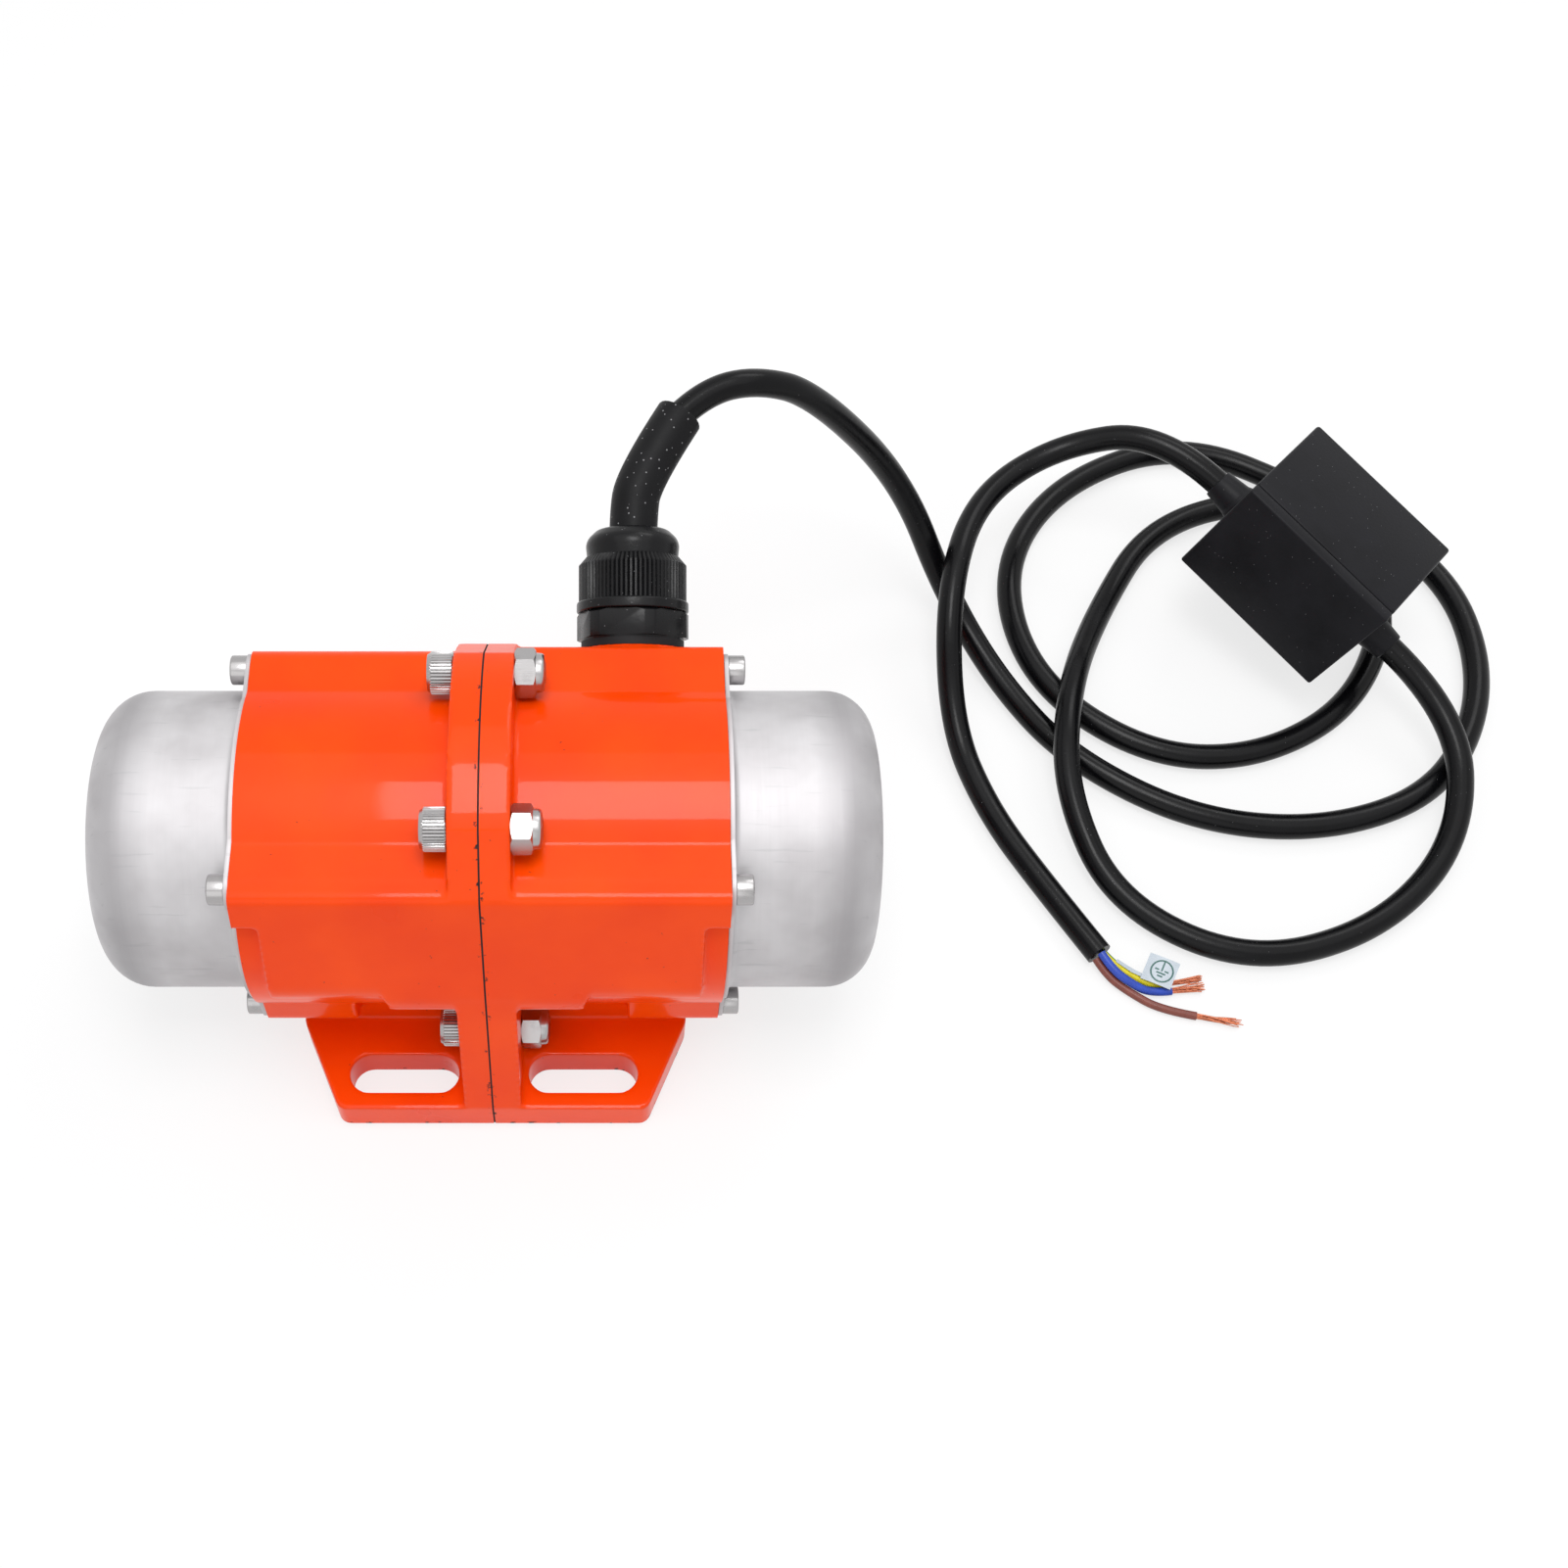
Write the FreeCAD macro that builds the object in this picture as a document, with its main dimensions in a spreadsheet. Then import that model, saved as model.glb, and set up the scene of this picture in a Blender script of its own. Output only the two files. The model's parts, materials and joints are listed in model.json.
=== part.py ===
import FreeCAD, Part
import math
import os

import Sketcher
from FreeCAD import Placement, Rotation, Vector

# A small rotary vibration motor: a two-piece cast housing bolted at a centre flange, drawn end
# caps over the eccentric weights, and a flexible cable with an in-line capacitor box.
# Millimetres. The shaft runs along X, Z is up, and the origin is the middle of the base.
# A name that ends in _s is measured along its own axis from that axis's start.

dimensions = {
    # housing, measured from the joint between the halves and from the shaft axis
    "bodyHalf": 55.2,
    "seamHalf": 0.3,
    "barrelWall": 3.5,
    "barrelDraft": 1.2,
    "bossRim": 4.655,
    "blockRound": 5.0,
    "lowerBossLong": 22.0,
    "flangeThick": 7.0,
    "crownRim": 10.8,
    "crownHalf": 23.4,
    "shoulderRim": 0.5,
    "shoulderDrop": 1.0,
    "padTopInset": 2.5,
    "padTopRise": 0.3,
    "padBendRim": 1.4,
    "padBendDrop": 3.5,
    "padFootRim": 2.9,
    "padFootUp": 2.9,
    "padDeep": 5.0,
    "padUnder": 4.0,
    "padEnd": 5.2,
    "padRound": 10.0,
    "padStepLong": 22.0,
    "padStepDrop": 3.4,
    "padStepOut": 1.0,
    "padStepTuck": 0.5,
    "padStepLip": 3.0,
    "padStepTop": 6.0,
    "backPadTop": 20.0,
    "backPadShort": 4.0,
    # base
    "axisRise": 10.8,
    "baseHalfDepth": 53.5,
    "baseThick": 10.0,
    "baseEnd": 7.0,
    "baseTaper": 10.0,
    "baseRootOut": 30.0,
    "baseRound": 3.0,
    "webHalf": 28.5,
    "slotEdge": 9.4,
    "slotShift": 0.3,
    "slotLong": 27.2,
    "slotWide": 10.2,
    # inside the housing
    "stackRadius": 35.5,
    "stackHalf": 22.0,
    "cavityStep": 2.5,
    "endWall": 6.0,
    "hubWall": 4.5,
    "bearingWall": 2.4,
    "shaftRoom": 1.5,
    # running and seating clearances
    "seatGap": 0.05,
    "turnGap": 0.3,
    "boltClear": 0.3,
    # through bolts, M6
    "boltRadius": 3.0,
    "boltHeadRadius": 5.0,
    "boltHeadHigh": 6.0,
    "boltKey": 5.0,
    "boltNutFlats": 10.0,
    "boltNutHigh": 6.8,
    "boltTail": 1.6,
    "boltRoom": 0.86,
    "upperBoltOut": 20.6,
    "lowerBoltRise": 2.0,
    "lowerBoltRoom": 0.9,
    # cap screws, M4
    "screwRadius": 2.0,
    "screwHeadRadius": 3.5,
    "screwHeadHigh": 4.0,
    "screwKey": 3.0,
    "screwDeep": 10.0,
    "screwRoom": 2.2,
    # end caps
    "capInset": 3.2,
    "capRoom": 6.5,
    "capDome": 1.8,
    "capRound": 11.0,
    "capSheet": 1.0,
    "plateThick": 1.0,
    "plateRim": 0.5,
    "gasketThick": 0.5,
    "gasketRim": 0.6,
    # stator and rotor
    "airGap": 0.3,
    "rotorRadius": 19.7,
    "slotCount": 12,
    "slotWidth": 6.0,
    "slotYoke": 5.5,
    "slotLip": 2.4,
    "slotMouth": 1.8,
    "windingGap": 0.3,
    "turnReach": 11.0,
    "turnRoom": 0.8,
    "barCount": 16,
    "barRadius": 1.4,
    "barRim": 1.0,
    "cageRing": 4.0,
    "cageInner": 14.0,
    # shaft and bearings, 6202
    "coreStep": 1.5,
    "bearingBore": 15.0,
    "bearingOuter": 35.0,
    "bearingWide": 11.0,
    "washerRoom": 0.8,
    "ballShare": 0.149,
    "ballCount": 8,
    "grooveGap": 0.08,
    "landGap": 1.95,
    "cageHalf": 1.0,
    "cageRim": 0.72,
    # eccentric weights
    "seatStep": 0.5,
    "weightGap": 1.9,
    "weightThick": 12.0,
    "weightRoom": 5.8,
    "weightHubWall": 5.0,
    "setScrew": 2.5,
    "keyWide": 4.0,
    "keyLong": 9.0,
    "keySunk": 2.0,
    "keyProud": 1.8,
    "snapThick": 1.2,
    "snapSunk": 0.7,
    "snapProud": 2.6,
    "shaftTail": 3.1,
    # cable gland on the right half, measured along its own axis from the seat
    "glandTilt": 28.0,
    "glandRise": 7.0,
    "glandBossRim": 2.5,
    "glandThread": 10.0,
    "glandThreadLong": 9.0,
    "glandWasherThick": 1.8,
    "glandHexRim": 2.5,
    "glandHexHigh": 6.8,
    "glandBarrelStep": 0.5,
    "glandBarrelTop": 19.5,
    "glandRimTop": 11.4,
    "glandRimStep": 0.5,
    "glandNutWall": 3.6,
    "glandNutTop": 22.0,
    "glandDomeStep": 2.1,
    "glandDomeTop": 29.0,
    # cable
    "sleeveRadius": 5.7,
    "cableRadius": 3.5,
    "wireRadius": 1.1,
    "copperRadius": 0.8,
    "leadRadius": 0.8,
    "leadSpacing": 2.2,
    "leadSunk": 4.0,
    "entryDeep": 4.0,
    "sleeveSunk": 5.0,
    "sleeveStraight": 18.5,
    "copperLong": 9.0,
    "tagLong": 9.0,
    "tagWide": 6.0,
    "tagThick": 0.4,
    # in-line capacitor box
    "boxLong": 49.0,
    "boxWide": 39.0,
    "boxHigh": 33.5,
    "boxWall": 2.5,
    "lidThick": 4.0,
    "collarRadius": 5.5,
    "collarTaper": 1.2,
    "collarLong": 8.0,
    "collarDrop": 5.0,
    "capacitorLong": 38.0,
    "capacitorWide": 24.0,
    "capacitorHigh": 27.0,
    "capacitorRound": 3.0,
    "lidLip": 3.0,
    "lidGap": 0.1,
}

# what fits in, on or beside another piece follows from the sizes above
fitted = {
    "barrelEnd": "stackRadius + barrelWall",
    "barrelRoot": "barrelEnd + barrelDraft",
    "axisHeight": "barrelRoot + axisRise",
    "crownRadius": "barrelRoot + crownRim",
    "capRadius": "barrelEnd - capInset",
    "screwCircle": "capRadius + screwHeadRadius + screwRoom",
    "screwReach": "screwCircle / sqrt(2)",
    "blockHalf": "screwReach + bossRim",
    "shoulderOut": "blockHalf + shoulderRim",
    "shoulderUp": "blockHalf - shoulderDrop",
    "padTopOut": "blockHalf - padTopInset",
    "padTopUp": "blockHalf + padTopRise",
    "padBendOut": "blockHalf + padBendRim",
    "padBendUp": "blockHalf - padBendDrop",
    "padFootOut": "barrelRoot + padFootRim",
    "padHalf": "bodyHalf - padEnd",
    "baseRootHalf": "bodyHalf - baseEnd",
    "baseTipHalf": "baseRootHalf - baseTaper",
    "slotAcross": "(flangeThick + baseTipHalf) / 2 - slotShift",
    "slotOut": "baseHalfDepth - slotEdge",
    "boltCircle": "barrelRoot + boltHeadRadius + boltRoom",
    "upperBoltUp": "sqrt(boltCircle * boltCircle - upperBoltOut * upperBoltOut)",
    "lowerBoltOut": "webHalf + boltHeadRadius + lowerBoltRoom",
    "lowerBoltUp": "baseThick + boltHeadRadius + lowerBoltRise",
    "cavityRadius": "stackRadius - cavityStep",
    "hubRadius": "bearingOuter / 2 + hubWall",
    "shaftHole": "bearingBore / 2 + shaftRoom",
    "bearingStart": "bodyHalf - bearingWall - washerRoom - bearingWide",
    "slotTop": "stackRadius - slotYoke",
    "slotBottom": "rotorRadius + airGap + slotLip",
    "turnOuter": "cavityRadius - turnRoom",
    "turnStart": "stackHalf + 2 * windingGap",
    "turnStop": "turnStart + turnReach",
    "barCircle": "rotorRadius - barRadius - barRim",
    "coreSeat": "bearingBore / 2 + coreStep",
    "weightSeat": "bearingBore / 2 - seatStep",
    "ballCircle": "(bearingBore + bearingOuter) / 4",
    "ballRadius": "(bearingOuter - bearingBore) * ballShare",
    "grooveRadius": "ballRadius + grooveGap",
    "innerLand": "ballCircle - landGap",
    "outerLand": "ballCircle + landGap",
    "cageWide": "2 * (ballRadius + cageRim)",
    "weightStart": "bodyHalf + weightGap",
    "weightRadius": "capRadius - capSheet - weightRoom",
    "weightHub": "weightSeat + weightHubWall",
    "keyBottom": "weightSeat - keySunk",
    "keyTop": "weightSeat + keyProud",
    "adjustStart": "weightStart + weightThick + turnGap",
    "adjustStop": "adjustStart + weightThick",
    "snapStart": "adjustStop + turnGap",
    "snapStop": "snapStart + snapThick",
    "snapGroove": "weightSeat - snapSunk",
    "snapOuter": "weightSeat + snapProud",
    "shaftEnd": "snapStop + shaftTail",
    "plateStart": "bodyHalf + gasketThick",
    "plateStop": "plateStart + plateThick",
    "capEnd": "shaftEnd + capRoom",
    "gasketBore": "capRadius - capSheet - gasketRim",
    "glandAcross": "turnStop + leadRadius",
    "glandSeat": "barrelEnd + glandRise",
    "glandFlats": "2 * (glandThread + glandHexRim)",
    "glandBoss": "glandFlats / 2 + glandBossRim",
    "glandWasherRadius": "glandFlats / 2",
    "glandHexTop": "glandWasherThick + glandHexHigh",
    "glandBarrel": "glandThread - glandBarrelStep",
    "glandNutRadius": "glandBarrel + glandNutWall",
    "glandRimRadius": "glandNutRadius + glandRimStep",
    "glandDomeRadius": "glandNutRadius - glandDomeStep",
}

doc = FreeCAD.newDocument("VibrationMotor")
sheet = doc.addObject("Spreadsheet::Sheet", "Sizes")
formulas = {alias: "=" + formula for alias, formula in fitted.items()}
for row, (alias, content) in enumerate((dimensions | formulas).items(), start=1):
    sheet.set(f"A{row}", alias)
    sheet.set(f"B{row}", str(content))
    sheet.setAlias(f"B{row}", alias)
doc.recompute()


class Size:
    """A length that carries its number and the formula that ties it to the sheet."""

    def __init__(self, value, text):
        self.value = value
        self.text = text

    def combine(self, other, sign, value):
        return Size(value, f"({self.text} {sign} {sized(other).text})")

    def __add__(self, other):
        return self.combine(other, "+", self.value + sized(other).value)

    def __sub__(self, other):
        return self.combine(other, "-", self.value - sized(other).value)

    def __mul__(self, other):
        return self.combine(other, "*", self.value * sized(other).value)

    def __truediv__(self, other):
        return self.combine(other, "/", self.value / sized(other).value)

    def __rsub__(self, other):
        return sized(other) - self

    def __neg__(self):
        return Size(-self.value, f"(-1 * {self.text})")


def sized(length):
    return length if isinstance(length, Size) else Size(float(length), str(float(length)))


def root(length):
    return Size(math.sqrt(length.value), f"sqrt({length.text})")


def cell(alias):
    return Size(float(sheet.get(alias)), f"Sizes.{alias}")


def number(alias):
    return float(sheet.get(alias))


def bind(thing, **lengths):
    for name, length in lengths.items():
        thing.setExpression(name, sized(length).text)


ground = sized(0.0)
past = 1.0  # how far a cutter runs beyond the face it opens
axisHeight = cell("axisHeight")
seamHalf = cell("seamHalf")
bodyHalf = cell("bodyHalf")
seatGap = cell("seatGap")
along_x = Rotation(Vector(0, 1, 0), 90)
sides = {"left": -1, "right": 1}


# ---------------------------------------------------------------- building blocks

def place(thing, x=0.0, y=0.0, z=0.0, rotation=Rotation()):
    """Put a thing at bound coordinates; its turn is fixed."""
    where = [sized(length) for length in (x, y, z)]
    thing.Placement = Placement(Vector(*[length.value for length in where]), rotation)
    for axis, length in zip("xyz", where):
        thing.setExpression(f"Placement.Base.{axis}", length.text)
    return thing


def rod(name, radius, start, stop, y=0.0, z=axisHeight):
    """A round bar along X."""
    bar = doc.addObject("Part::Cylinder", name)
    bind(bar, Radius=radius, Height=sized(stop) - start)
    return place(bar, start, y, z, along_x)


def block(name, x, y, z):
    """A box between two bound values on each axis."""
    box = doc.addObject("Part::Box", name)
    bind(box, Length=sized(x[1]) - x[0], Width=sized(y[1]) - y[0], Height=sized(z[1]) - z[0])
    return place(box, x[0], y[0], z[0])


def fuse(name, *things):
    joined = doc.addObject("Part::MultiFuse", name)
    joined.Shapes = list(things)
    joined.Refine = True
    return joined


def common(name, *things):
    shared = doc.addObject("Part::MultiCommon", name)
    shared.Shapes = list(things)
    return shared


def cut(name, base, *tools):
    """The base without the tools, which are grouped when there are several."""
    taken = doc.addObject("Part::Cut", name)
    taken.Base = base
    taken.Tool = tools[0] if len(tools) == 1 else fuse(name + "_tools", *tools)
    taken.Refine = True
    return taken


def mirrored(name, thing):
    """The thing seen across the joint plane X = 0."""
    twin = doc.addObject("Part::Mirroring", name)
    twin.Source = thing
    twin.Normal = Vector(1, 0, 0)
    twin.Base = Vector(0, 0, 0)
    return twin


def both_sides(name, thing):
    """A right-hand piece and its mirror image as left and right nodes."""
    labelled(name + "_right", thing)
    labelled(name + "_left", mirrored(name + "_left", thing))


def rounded(name, thing, radius, wanted):
    """Round the edges for which wanted(edge) holds."""
    doc.recompute()
    edges = [i for i, edge in enumerate(thing.Shape.Edges, start=1) if wanted(edge)]
    soft = doc.addObject("Part::Fillet", name)
    soft.Base = thing
    soft.Edges = [(i, radius.value, radius.value) for i in edges]
    return soft


def outline(sketch, corners):
    """A closed polygon with every corner tied to the sheet."""
    count = len(corners)
    points = [Vector(across.value, up.value, 0) for across, up in corners]
    for i in range(count):
        sketch.addGeometry(Part.LineSegment(points[i], points[(i + 1) % count]), False)
    for i in range(count):
        sketch.addConstraint(Sketcher.Constraint("Coincident", i, 2, (i + 1) % count, 1))
    for i, corner in enumerate(corners):
        for kind, length in zip(("DistanceX", "DistanceY"), corner):
            tie = sketch.addConstraint(Sketcher.Constraint(kind, -1, 1, i, 1, length.value))
            sketch.setExpression(f"Constraints[{tie}]", length.text)


def prism(name, corners, start, stop):
    """An outline in (Y, height over the shaft) drawn out along X."""
    sketch = doc.addObject("Sketcher::SketchObject", name + "_outline")
    outline(sketch, [(sized(y), sized(up)) for y, up in corners])
    place(sketch, start, 0.0, axisHeight, Rotation(Vector(0, 1, 0), Vector(0, 0, 1), Vector(1, 0, 0)))
    drawn = doc.addObject("Part::Extrusion", name)
    drawn.Base = sketch
    drawn.DirMode = "Custom"
    drawn.Dir = Vector(1, 0, 0)
    drawn.Solid = True
    bind(drawn, LengthFwd=sized(stop) - start)
    return drawn


def plan(name, corners, bottom, top):
    """An outline in (X, Y) drawn out along Z."""
    sketch = doc.addObject("Sketcher::SketchObject", name + "_outline")
    outline(sketch, [(sized(x), sized(y)) for x, y in corners])
    place(sketch, 0.0, 0.0, bottom)
    drawn = doc.addObject("Part::Extrusion", name)
    drawn.Base = sketch
    drawn.DirMode = "Custom"
    drawn.Dir = Vector(0, 0, 1)
    drawn.Solid = True
    bind(drawn, LengthFwd=sized(top) - bottom)
    return drawn


def turned(name, corners, where=None):
    """A PartDesign body turned about its own X axis from (along, radius) corners."""
    body = doc.addObject("PartDesign::Body", name)
    plane = [part for part in body.Origin.OriginFeatures if part.Role == "XY_Plane"][0]
    sketch = body.newObject("Sketcher::SketchObject", name + "_profile")
    sketch.AttachmentSupport = [(plane, "")]
    sketch.MapMode = "FlatFace"
    outline(sketch, [(sized(along), sized(radius)) for along, radius in corners])
    turning = body.newObject("PartDesign::Revolution", name + "_turning")
    turning.Profile = sketch
    turning.ReferenceAxis = (sketch, ["H_Axis"])
    turning.Angle = 360.0
    if where is None:
        place(body, 0.0, 0.0, axisHeight)
    else:
        body.Placement = where
    return body


def ring(start, stop, inner, outer):
    """The four corners of a plain ring for turned()."""
    return [(start, inner), (stop, inner), (stop, outer), (start, outer)]


def around(angle, radius):
    """Y and Z of a point on a circle about the shaft, by its angle in degrees from +Y."""
    turn = math.radians(angle)
    return radius * math.cos(turn), number("axisHeight") + radius * math.sin(turn)


def solid(name, shape):
    """A sub-part whose shape comes straight from Part's own functions."""
    thing = doc.addObject("Part::Feature", name)
    thing.Shape = shape
    return thing


nodes = {}


def labelled(name, thing):
    thing.Label = name
    nodes[name] = thing
    return thing


# ---------------------------------------------------------------- bolts and screws

upper_bolt = (cell("upperBoltOut"), axisHeight + cell("upperBoltUp"))
lower_bolt = (cell("lowerBoltOut"), cell("lowerBoltUp"))
bolt_places = [(side * out, z) for out, z in (upper_bolt, lower_bolt)
               for side in (sized(-1.0), sized(1.0))]
screw_places = [(sized(across) * cell("screwReach"), axisHeight + sized(up) * cell("screwReach"))
                for across in (-1.0, 1.0) for up in (-1.0, 1.0)]


def hexagon(flats, height):
    """A hexagonal bar along +X from the origin."""
    reach = flats / math.sqrt(3.0)
    corners = [Vector(0, reach * math.cos(math.radians(60 * i)), reach * math.sin(math.radians(60 * i)))
               for i in range(7)]
    return Part.Face(Part.makePolygon(corners)).extrude(Vector(height, 0, 0))


def socket_screw(shank, head, head_high, key, length):
    """A socket-head screw whose head sits on X = 0 and whose shank runs along -X."""
    body = Part.makeCylinder(head, head_high, Vector(0, 0, 0), Vector(1, 0, 0))
    body = body.makeChamfer(0.08 * head, [body.Edges[0]] if body.Edges[0].CenterOfMass.x > 0
                            else [edge for edge in body.Edges if edge.CenterOfMass.x > head_high * 0.9])
    body = body.fuse(Part.makeCylinder(shank, length, Vector(-length, 0, 0), Vector(1, 0, 0)))
    recess = hexagon(key, head_high)
    recess.translate(Vector(0.45 * head_high, 0, 0))
    return body.cut(recess).removeSplitter()


def lock_nut(flats, height, bore):
    """A hexagonal nut along +X with a domed collar over its insert."""
    reach = flats / math.sqrt(3.0)
    plain = hexagon(flats, 0.72 * height)
    bevel = Part.makeCone(reach * 1.02, reach * 0.9, 0.72 * height, Vector(0, 0, 0), Vector(1, 0, 0))
    collar = Part.makeCylinder(0.45 * flats, height, Vector(0, 0, 0), Vector(1, 0, 0))
    rim = [edge for edge in collar.Edges if edge.CenterOfMass.x > 0.9 * height]
    collar = collar.makeFillet(0.16 * height, rim)
    hole = Part.makeCylinder(bore, 2 * height, Vector(-0.5 * height, 0, 0), Vector(1, 0, 0))
    return plain.common(bevel).fuse(collar).cut(hole).removeSplitter()


def grouped(name, shape, places, x, flip=False):
    """Copies of one shape at several places along X, kept as separate solids in one node."""
    turn = Rotation(Vector(0, 0, 1), 180) if flip else Rotation()
    copies = []
    for y, z in places:
        copy = shape.copy()
        copy.Placement = Placement(Vector(x, y.value, z.value), turn)
        copies.append(copy)
    return labelled(name, solid(name, Part.makeCompound(copies)))


bolt_long = 2 * number("flangeThick") + number("boltNutHigh") + number("boltTail")
bolt_shape = socket_screw(number("boltRadius"), number("boltHeadRadius"), number("boltHeadHigh"),
                          number("boltKey"), bolt_long)
grouped("housing_bolts", bolt_shape, bolt_places, -number("flangeThick"), flip=True)
grouped("housing_nuts", lock_nut(number("boltNutFlats"), number("boltNutHigh"),
                                 number("boltRadius") + number("seatGap")),
        bolt_places, number("flangeThick"))

plate_face = number("plateStop")
screw_shape = socket_screw(number("screwRadius"), number("screwHeadRadius"), number("screwHeadHigh"),
                           number("screwKey"), number("screwDeep"))
for side, sign in sides.items():
    grouped("cap_screws_" + side, screw_shape, screw_places, sign * plate_face, flip=sign < 0)


# ---------------------------------------------------------------- housing

barrel = doc.addObject("Part::Cone", "barrel")
bind(barrel, Radius1=cell("barrelRoot"), Radius2=cell("barrelEnd"),
     Height=bodyHalf - seamHalf)
place(barrel, seamHalf, 0.0, axisHeight, along_x)

blockHalf = cell("blockHalf")


def is_corner(edge):
    """An edge along X on an outer corner of the square block."""
    middle = edge.CenterOfMass
    lift = abs(middle.z - number("axisHeight"))
    return (abs(abs(middle.y) - number("blockHalf")) < 0.1
            and abs(lift - number("blockHalf")) < 0.1)


upper_bosses = rounded(
    "upper_bosses",
    block("upper_block", (seamHalf, bodyHalf), (-blockHalf, blockHalf),
          (axisHeight, axisHeight + blockHalf)),
    cell("blockRound"), is_corner)
lower_bosses = rounded(
    "lower_bosses",
    block("lower_block", (bodyHalf - cell("lowerBossLong"), bodyHalf), (-blockHalf, blockHalf),
          (axisHeight - blockHalf, axisHeight)),
    cell("blockRound"), is_corner)

crownHalf = cell("crownHalf")
crownRadius = cell("crownRadius")
crown_drop = root(crownRadius * crownRadius - crownHalf * crownHalf)
flangeThick = cell("flangeThick")
flange_half = [
    (crownHalf, crown_drop),
    (cell("shoulderOut"), cell("shoulderUp")),
    (cell("padBendOut"), cell("padBendUp")),
    (cell("padFootOut"), cell("padFootUp")),
    (cell("baseHalfDepth"), cell("baseThick") - axisHeight),
    (cell("baseHalfDepth"), -axisHeight),
]
flange_web = prism("flange_web", flange_half + [(-y, up) for y, up in reversed(flange_half)],
                   seamHalf, flangeThick)
flange_crown = common(
    "flange_crown",
    rod("crown_disc", crownRadius, seamHalf, flangeThick),
    block("crown_window", (seamHalf, flangeThick), (-crownHalf, crownHalf),
          (axisHeight, axisHeight + crownRadius * 1.1)))

padHalf = cell("padHalf")
pad_root = cell("padTopOut") - cell("padDeep")
pad_under = cell("padFootUp") - cell("padUnder")
front_pad = prism(
    "front_pad",
    [(-pad_root, cell("padTopUp")), (-cell("padTopOut"), cell("padTopUp")),
     (-cell("padBendOut"), cell("padBendUp")), (-cell("padFootOut"), cell("padFootUp")),
     (-pad_root, pad_under)],
    seamHalf, padHalf)


def is_pad_corner(edge):
    """The short edge across the pad's lower outer corner."""
    middle = edge.CenterOfMass
    return (abs(middle.x - number("padHalf")) < 0.1
            and middle.z - number("axisHeight") < number("padFootUp"))


front_pad = rounded("front_pad_rounded", front_pad, cell("padRound"), is_pad_corner)
step_out = cell("padFootOut") + cell("padStepOut")
step_up = cell("padFootUp") - cell("padStepDrop")
pad_step = prism(
    "pad_step",
    [(-pad_root, cell("padFootUp") + cell("padStepTop")),
     (-cell("padFootOut") + cell("padStepTuck"), cell("padFootUp") + cell("padStepLip")),
     (-step_out, step_up), (-pad_root, step_up - cell("padUnder"))],
    seamHalf, cell("padStepLong"))

pad_run = (cell("padFootOut") - cell("padBendOut")) / (cell("padBendUp") - cell("padFootUp"))
back_top_out = cell("padBendOut") + pad_run * (cell("padBendUp") - cell("backPadTop"))
back_pad = prism(
    "back_pad",
    [(pad_root, cell("backPadTop")), (back_top_out, cell("backPadTop")),
     (cell("padFootOut"), cell("padFootUp")), (pad_root, pad_under)],
    seamHalf, padHalf - cell("backPadShort"))

base_plan = [
    (seamHalf, -cell("baseHalfDepth")),
    (cell("baseTipHalf"), -cell("baseHalfDepth")),
    (cell("baseRootHalf"), -cell("baseRootOut")),
    (cell("baseRootHalf"), cell("baseRootOut")),
    (cell("baseTipHalf"), cell("baseHalfDepth")),
    (seamHalf, cell("baseHalfDepth")),
]


def is_base_corner(edge):
    """An upright edge at an outer corner of the base."""
    middle = edge.CenterOfMass
    return (abs(middle.z - number("baseThick") / 2) < 0.1 and middle.x > 1.0
            and abs(abs(middle.y) - number("baseHalfDepth")) < 0.1)


base = rounded("base_rounded", plan("base_plate", base_plan, ground, cell("baseThick")),
               cell("baseRound"), is_base_corner)
web = block("base_web", (seamHalf, cell("baseRootHalf")), (-cell("webHalf"), cell("webHalf")),
            (ground, axisHeight - cell("barrelEnd") / 2))

casting = fuse("casting", barrel, upper_bosses, lower_bosses, flange_web, flange_crown,
               front_pad, pad_step, back_pad, base, web)

# what is cut out of each half: a stepped bore, bolt and screw holes, and two base slots
bearingStart = cell("bearingStart")
bearing_room = bearingStart + cell("bearingWide") + cell("washerRoom")
bearing_bore = cell("bearingOuter") / 2
cavity_end = bodyHalf - cell("endWall")
stack_end = cell("stackHalf") + 0.1
bore_profile = [
    (-past, 0.0),
    (-past, cell("stackRadius") + seatGap),
    (stack_end, cell("stackRadius") + seatGap),
    (stack_end, cell("cavityRadius")),
    (cavity_end, cell("cavityRadius")),
    (cavity_end, cell("hubRadius")),
    (bearingStart - 0.2, cell("hubRadius")),
    (bearingStart - 0.2, bearing_bore),
    (bearing_room, bearing_bore),
    (bearing_room, cell("shaftHole")),
    (bodyHalf + past, cell("shaftHole")),
    (bodyHalf + past, 0.0),
]
bore = turned("bore", bore_profile)

holes = [rod(f"bolt_hole_{i}", cell("boltRadius") + cell("boltClear"), -past, flangeThick + past, y, z)
         for i, (y, z) in enumerate(bolt_places)]
holes += [rod(f"screw_hole_{i}", cell("screwRadius") + seatGap, bodyHalf - cell("screwDeep"),
              bodyHalf + past, y, z)
          for i, (y, z) in enumerate(screw_places)]

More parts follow.
